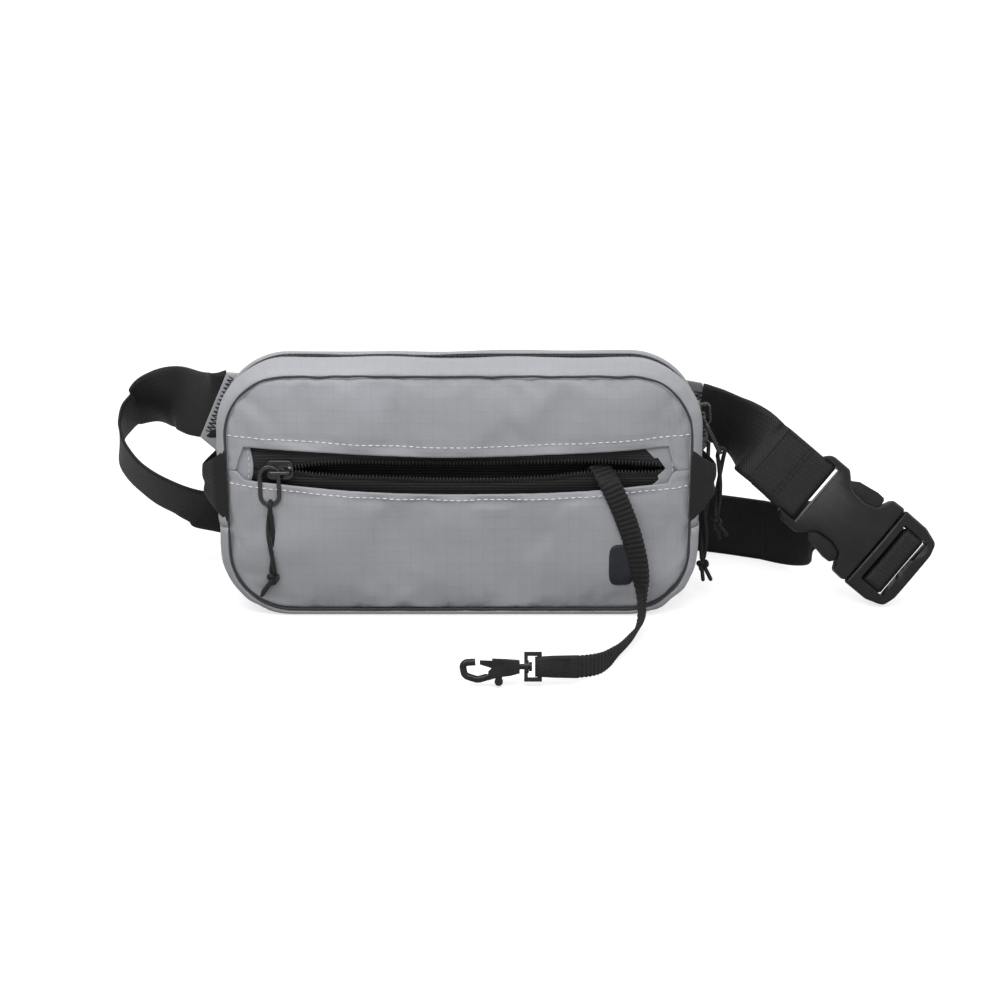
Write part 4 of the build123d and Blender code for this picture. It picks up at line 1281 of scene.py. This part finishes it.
# --- Sides, crown and back ----------------------------------------------------------------------
class BELTBAG_OT_shell(bpy.types.Operator):
    """Makes the gussets, the painted shade line along the front seam, the crown zip and the padded back"""
    bl_idname = "beltbag.shell"
    bl_label = "Gussets, Top Zip And Back"

    def zip_strip(self, name, y0, y1, drop, finish, slot, node):
        """A strip of zip tape over the top, between two depths."""
        rings = []
        for y in (y0, (y0 + y1) / 2, y1):
            rings.append(ring_at(y, drop, drop, 0.0))
        walked = [0.0]
        for a, b in zip(rings[0], rings[0][1:]):
            walked.append(walked[-1] + (Vector(b) - Vector(a)).length)
        mesh = skin(name, rings, [[(s, ring[0][1]) for s in walked] for ring in rings], closed=False)
        if mesh.polygons[len(mesh.polygons) // 2].normal.z < 0:
            mesh.flip_normals()
        piece = finished(name, mesh, finish, "bag", (node,))
        applied(piece, ("SOLIDIFY", {"thickness": 0.6 * MM, "offset": -1}))

    def execute(self, context):
        """Make the gussets, the crown zip and the back."""
        look = finishes()
        sizes = context.scene.bag_sizes
        gusset("Front Gusset", FRONT_ROLL, True, look["cloth"], ("front_gusset",), 0.0)
        gusset("Rear Gusset", REAR_ROLL, True, look["cloth"], ("rear_gusset",), 20.0)
        gusset("Base Gusset", FRONT_ROLL[:-3] + REAR_ROLL[2:], False, look["cloth"], ("base_gusset",), 40.0)
        self.zip_strip("Top Tape Front", -4.6, -0.8, 1.0, look["tape"], "zip_tape", "main_zip_tape_front")
        self.zip_strip("Top Tape Rear", 0.8, 4.6, 1.0, look["tape"], "zip_tape", "main_zip_tape_rear")
        run = []
        for x, y, z in ring_at(0, 0.9, 0.9, 0.0):
            out = Vector((max(abs(x) - CORNER_X, 0) * (1 if x > 0 else -1), 0, max(z - CORNER_Z, 0)))
            run.append(((x, y, z), out.normalized() if out.length else (math.copysign(1, x), 0, 0)))
        coil = look["coil"]
        teeth = beads("Top Teeth", [run], coil, "bag", sizes.tooth_pitch, 0.95, 3.0, 1.5, 0.2)
        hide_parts("main_zip_coil")
        stops = [
            [((side * 101.6, -1.8, 46), (side, 0, 0)), ((side * 101.6, 1.8, 46), (side, 0, 0))]
            for side in (-1, 1)
        ]
        ends = beads("Top Stops", stops, coil, "bag", 1.0, 1.6, 3.0, 1.6)
        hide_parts("main_zip_stops")
        self.seam_shade_lines(look)
        self.back(look)
        return {"FINISHED"}

    def seam_shade_lines(self, look):
        """Dark tubes of painted shade along the sewn seams, a little wavy, all round front and back."""
        for name, station, y in (("Front Seam", FRONT_SEAM, -26.2), ("Rear Seam", REAR_SEAM, 25.9)):
            _, half, low, high, radius = station
            ring = outline(half - 0.5, low + 0.5, high - 0.5, radius, True)
            ring += outline(half - 0.5, low + 0.5, high - 0.5, radius, False)[::-1][1:]
            centres = []
            for x, z in ring:
                wave = noise.noise(Vector((x * 0.11, z * 0.11, 3.0))) * 0.7
                centres.append(Vector((x, y + wave * 0.4, z + wave * (0.8 if z > 20 else 0.2))))
            finished(name, tube_mesh(name, centres, 0.6, 8), look["seam"], "bag")

    def back(self, look):
        """The padded back with its sewn channels, and the lining behind it."""
        station = (0, REAR_SEAM[1] - 1.0, REAR_SEAM[2] + 1.0, REAR_SEAM[3] - 1.0, REAR_SEAM[4] - 1.0)
        grid = []
        for x in columns(station[1], station[4]):
            low, high = reach(x, station, False), reach(x, station, True)
            line = []
            for j in range(49):
                z = blend_numbers(low, high, 0.5 - 0.5 * math.cos(math.pi * j / 48))
                inside = max(edge_distance(x, z, station), 0)
                pad = 1.9 * (1 - math.exp(-inside / 5)) - 1.6
                channel = sum(math.exp(-((x - c) / 1.3) ** 2) for c in (-48, 0, 48)) * min(inside / 10, 1)
                line.append((x, 25.9 + pad - channel * 1.1 + noise.noise(Vector((x, z, 0)) * 0.04) * 0.4, z))
            grid.append(line)
        mesh = skin("Back Panel", grid, [[(x, z) for x, _, z in line] for line in grid], closed=False)
        if mesh.polygons[len(mesh.polygons) // 2].normal.y < 0:
            mesh.flip_normals()
        piece = finished("Back Panel", mesh, look["back"], "bag", ("back_panel", "back_foam"))
        applied(piece, ("SOLIDIFY", {"thickness": 3.0 * MM, "offset": -1}))
        smooth_copy("Back Lining", "back_lining", look["liner"], "bag")


# --- Loops, wings and belt ----------------------------------------------------------------------
SLOPE = math.radians(40.5)
BUCKLE_X = Vector((math.cos(SLOPE), -math.sin(SLOPE) * math.sin(LEAN), -math.sin(SLOPE) * math.cos(LEAN)))
BUCKLE_Y = FACING.cross(BUCKLE_X)
MEET = Vector((186.0, -6.2, 26.3))
# The belt webbing's width and thickness.
BELT = (30.0, 1.4)


def in_buckle(x, y, z):
    """A point of the buckle's own frame."""
    return MEET + BUCKLE_X * x + BUCKLE_Y * y + FACING * z


class BELTBAG_OT_belt(bpy.types.Operator):
    """Makes the side loops, the cloth wings and the webbing of the belt"""
    bl_idname = "beltbag.belt"
    bl_label = "Belt, Wings And Loops"

    def run(self, name, points, radius, body, node, look):
        """Webbing bent round the buckle's bars."""
        line = even(round_corners([(x, 0, z) for x, z in points], radius), 0.8)
        centres = [in_buckle(*p) for p in line]
        mesh = strap_mesh(name, centres, [BUCKLE_Y] * len(centres), *BELT)
        finished(name, mesh, look["webbing"], body, (node,))

    def wing(self, name, outline_points, finish, node):
        """A flat cloth wing with a turned edge."""
        shape = bmesh.new()
        corners = [shape.verts.new(Vector((x, 26.3, z)) * MM) for x, z in outline_points]
        shape.faces.new(corners)
        bmesh.ops.triangulate(shape, faces=shape.faces)
        bmesh.ops.subdivide_edges(shape, edges=shape.edges, cuts=7, use_grid_fill=True)
        layer = shape.loops.layers.uv.new("Cloth")
        for face in shape.faces:
            for loop in face.loops:
                loop[layer].uv = (loop.vert.co.x, loop.vert.co.z)
        for vertex in shape.verts:
            x, z = vertex.co.x / MM, vertex.co.z / MM
            vertex.co.y += noise.noise(Vector((x * 0.1, z * 0.1, 15.0))) * 0.5 * MM
        mesh = bpy.data.meshes.new(name)
        shape.to_mesh(mesh)
        shape.free()
        if mesh.polygons[0].normal.y > 0:
            mesh.flip_normals()
        piece = finished(name, mesh, finish, "bag", (node,))
        applied(piece, ("SOLIDIFY", {"thickness": 2.2 * MM, "offset": -1}),
                ("BEVEL", {"width": 0.6 * MM, "segments": 3, "limit_method": "ANGLE"}))

    def side_loop(self, name, side, look):
        """Webbing folded out of the front seam and back to the side, creased across its middle."""
        plan = even(round_corners([(100.4, 0, -26.6), (105.6, 0, -25.7), (112.4, 0, -18.6),
                                   (111.4, 0, -13.2), (103.5, 0, -6.0)], 2.0), 0.7)
        rings, places = [], []
        for i, here in enumerate(plan):
            along = (plan[min(i + 1, len(plan) - 1)] - plan[max(i - 1, 0)]).normalized()
            out = Vector((along.z, 0, -along.x))
            share = max(0.0, min(1.0, (here.x - 101.0) / 11.0))
            low, high = blend_numbers(44.6, 55.2, share), blend_numbers(77.4, 68.4, share)
            ring, spots = [], []
            for across, lift in strap_profile(1.0, 1.3, 14):
                height = blend_numbers(low, high, across + 0.5)
                crush = 0.9 * share * math.exp(-((height - 60) / 2.2) ** 2)
                spot = here + out * (lift - crush)
                ring.append((side * spot.x, spot.z, height))
                spots.append((i * 0.7, height))
            rings.append(ring)
            places.append(spots)
        mesh = turned_out(skin(name, rings, places))
        finished(name, mesh, look["webbing"], "bag", (name.lower().replace(" ", "_"),))

    def execute(self, context):
        """Make the loops, wings and webbing."""
        look = finishes()
        for name, side in (("Side Loop Left", -1), ("Side Loop Right", 1)):
            self.side_loop(name, side, look)
        left = [(-86, 96.5), (-106.5, 97.5), (-120.0, 67.0), (-112.5, 60.0), (-86, 50)]
        right = [(86, 96.5), (110.0, 92.5), (114.0, 63.5), (109.0, 58.0), (86, 50)]
        self.wing("Wing Left", left, look["wing"], "wing_left")
        self.wing("Wing Right", right, look["wing_dark"], "wing_right")
        runs = [[((-104.0, 26.2, 95.0), (0, -1, 0)), ((-115.4, 26.2, 70.0), (0, -1, 0))],
                [((108.2, 26.2, 88.5), (0, -1, 0)), ((110.6, 26.2, 68.0), (0, -1, 0))]]
        beads("Wing Bartacks", runs, look["black_thread"], "bag", 1.0, 0.6, 4.6, 0.6, 0.25)
        self.belt(look)
        return {"FINISHED"}

    def belt(self, look):
        """The long webbing, its stretch to the plug, and the short webbing with its fold."""
        long_route = [
            ((-104.0, 29.6, 83.6), (0.38, 0.00, 0.92)), ((-113.6, 29.4, 81.6), (0.36, 0.00, 0.93)),
            ((-123, 38, 79.8), (0.30, 0.12, 0.94)),
            ((-134.5, 54, 78), (0.22, 0.02, 0.97)), ((-144.8, 60.5, 74.5), (0.10, -0.35, 0.93)),
            ((-152.5, 62.5, 71.5), (0.00, -0.62, 0.78)), ((-158, 60.5, 68.5), (-0.05, -0.80, 0.58)),
            ((-161, 57.5, 63.5), (0.03, -0.88, 0.47)), ((-162.3, 55, 59), (0.16, -0.88, 0.44)),
            ((-162, 52.5, 54.7), (0.24, -0.84, 0.49)), ((-160.3, 50, 49.8), (0.30, -0.78, 0.55)),
            ((-156.3, 47.8, 44.5), (0.30, -0.75, 0.58)), ((-150.8, 46, 39.8), (0.25, -0.72, 0.64)),
            ((-143.2, 44.2, 35), (0.19, -0.68, 0.71)), ((-133, 43.5, 30.2), (0.14, -0.66, 0.73)),
            ((-124.1, 46, 26), (0.10, -0.62, 0.77)), ((-115.8, 50.5, 22.5), (0.05, -0.50, 0.86)),
            ((-95, 56, 18), (0.02, -0.30, 0.95)), ((-65, 61, 15.6), (0.00, -0.12, 0.99)),
            ((-35, 63.5, 15.1), (0.00, 0.00, 1.00)), ((10, 64.5, 15.1), (0.00, 0.00, 1.00)),
            ((55, 64, 15.1), (0.00, 0.00, 1.00)), ((90, 61, 15.1), (0.00, 0.00, 1.00)),
            ((118, 55, 15.1), (0.00, 0.00, 1.00)), ((142, 45, 15.1), (0.00, 0.00, 1.00)),
            ((143.4, 44.1, 15.1), (0.00, 0.00, 1.00)),
        ]
        flex_route = [
            ((143.4, 44.1, 15.1), (0.00, 0.00, 1.00)), ((154, 37, 15.7), (0.08, 0.02, 1.00)),
            ((163, 26, 21), (0.25, 0.08, 0.95)), (in_buckle(-21, -3.5, -14.5), (0.50, 0.18, 0.82)),
            (in_buckle(-15, 0, -8.8), BUCKLE_Y), (in_buckle(-9.2, 0, -7.8), BUCKLE_Y),
        ]
        short_route = [
            ((109.0, 27.2, 78.0), (-0.14, -0.10, 0.97)), ((113.0, 27.2, 77.6), (-0.14, -0.20, 0.97)),
            ((119, 26, 76.5), (-0.02, -0.28, 0.96)), ((126, 22, 73.5), (0.20, -0.25, 0.93)),
            ((132, 14, 70.2), (0.45, -0.02, 0.88)), (in_buckle(-67.6, 0, 1.4), BUCKLE_Y),
            (in_buckle(-62.2, 0, 3.35), BUCKLE_Y),
        ]
        cloth = look["webbing"]
        slot = "belt_webbing"
        strap("Belt Long Webbing", long_route, *BELT, cloth, "bag", slot, ("belt_long_webbing",))
        flex = strap("Belt Flex Webbing", flex_route, *BELT, cloth, None, slot, ("belt_flex_webbing",))
        tuple(in_buckle(-10.5, 0, -7.9) * MM)
        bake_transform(flex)
        strap("Belt Short Webbing", short_route, *BELT, cloth, "bag", slot, ("belt_short_webbing",))
        wrap = [(-9.2, -7.7), (1.0, -6.9), (5.6, -6.3), (6.3, -3.4), (6.4, 2.7),
                (15.2, 2.7), (15.3, -6.4), (12.0, -9.2), (-5.0, -9.6)]
        fold = [(-62.4, 3.4), (-47.0, 3.6), (-36.2, 3.2), (-36.4, -3.2), (-47.0, -3.4),
                (-53.0, 0.4), (-60.0, 1.2)]
        self.run("Belt Plug Wrap", wrap, 1.8, "buckle_plug", "belt_male_wrap", look)
        self.run("Belt Short Fold", fold, 1.8, "bag", "belt_short_fold", look)
        runs = []
        for x in (-48.5, -50.5):
            runs.append([(in_buckle(x, y, 4.45), FACING) for y in (-13.5, 0, 13.5)])
        for y in (-13.5, 13.5):
            runs.append([(in_buckle(x, y, 4.3), FACING) for x in (-50.5, -56.0, -61.5)])
        beads("Belt Box Stitch", runs, look["black_thread"], "bag", 2.6, 2.1, 0.6, 0.5)


class BELTBAG_OT_buckle(bpy.types.Operator):
    """Gives the side release buckle its moulded finish and softened edges"""
    bl_idname = "beltbag.buckle"
    bl_label = "Buckle"

    def execute(self, context):
        """Finish the buckle."""
        look = finishes()
        for node, body in (
            ("buckle_female", "bag"), ("buckle_male", "buckle_plug"),
            ("prong_upper", "prong_upper"), ("prong_lower", "prong_lower"),
        ):
            name = node.replace("_", " ").title()
            smooth_copy(name, node, look["plastic"], body, angle=34, bevel=0.3)
        return {"FINISHED"}


# --- Sidebar and start --------------------------------------------------------------------------
STEPS = (
    BELTBAG_OT_stage, BELTBAG_OT_leash, BELTBAG_OT_pulls, BELTBAG_OT_front,
    BELTBAG_OT_shell, BELTBAG_OT_belt, BELTBAG_OT_buckle,
)


class BELTBAG_PT_sidebar(bpy.types.Panel):
    """The belt bag's sizes, colours and steps"""
    bl_idname = "BELTBAG_PT_sidebar"
    bl_label = "Belt Bag"
    bl_space_type = "VIEW_3D"
    bl_region_type = "UI"
    bl_category = "Belt Bag"

    def draw(self, context):
        """Shows the sizes, the colours and a button for each step."""
        for group in (context.scene.bag_sizes, context.scene.bag_colours):
            for key in group.bl_rna.properties.keys():
                if key not in ("rna_type", "name"):
                    self.layout.prop(group, key)
        for step in STEPS:
            self.layout.operator(step.bl_idname)


CLASSES = (BagSizes, BagColours, *STEPS, BELTBAG_PT_sidebar)


def register():
    """Adds the properties, steps and sidebar."""
    for item in CLASSES:
        bpy.utils.register_class(item)
    bpy.types.Scene.bag_sizes = PointerProperty(type=BagSizes)
    bpy.types.Scene.bag_colours = PointerProperty(type=BagColours)


def unregister():
    """Takes them away again."""
    del bpy.types.Scene.bag_colours
    del bpy.types.Scene.bag_sizes
    for item in reversed(CLASSES):
        bpy.utils.unregister_class(item)


def main():
    """Builds the bag."""
    register()
    for step in STEPS:
        group, name = step.bl_idname.split(".")
        getattr(getattr(bpy.ops, group), name)()


if __name__ == "__main__":
    main()
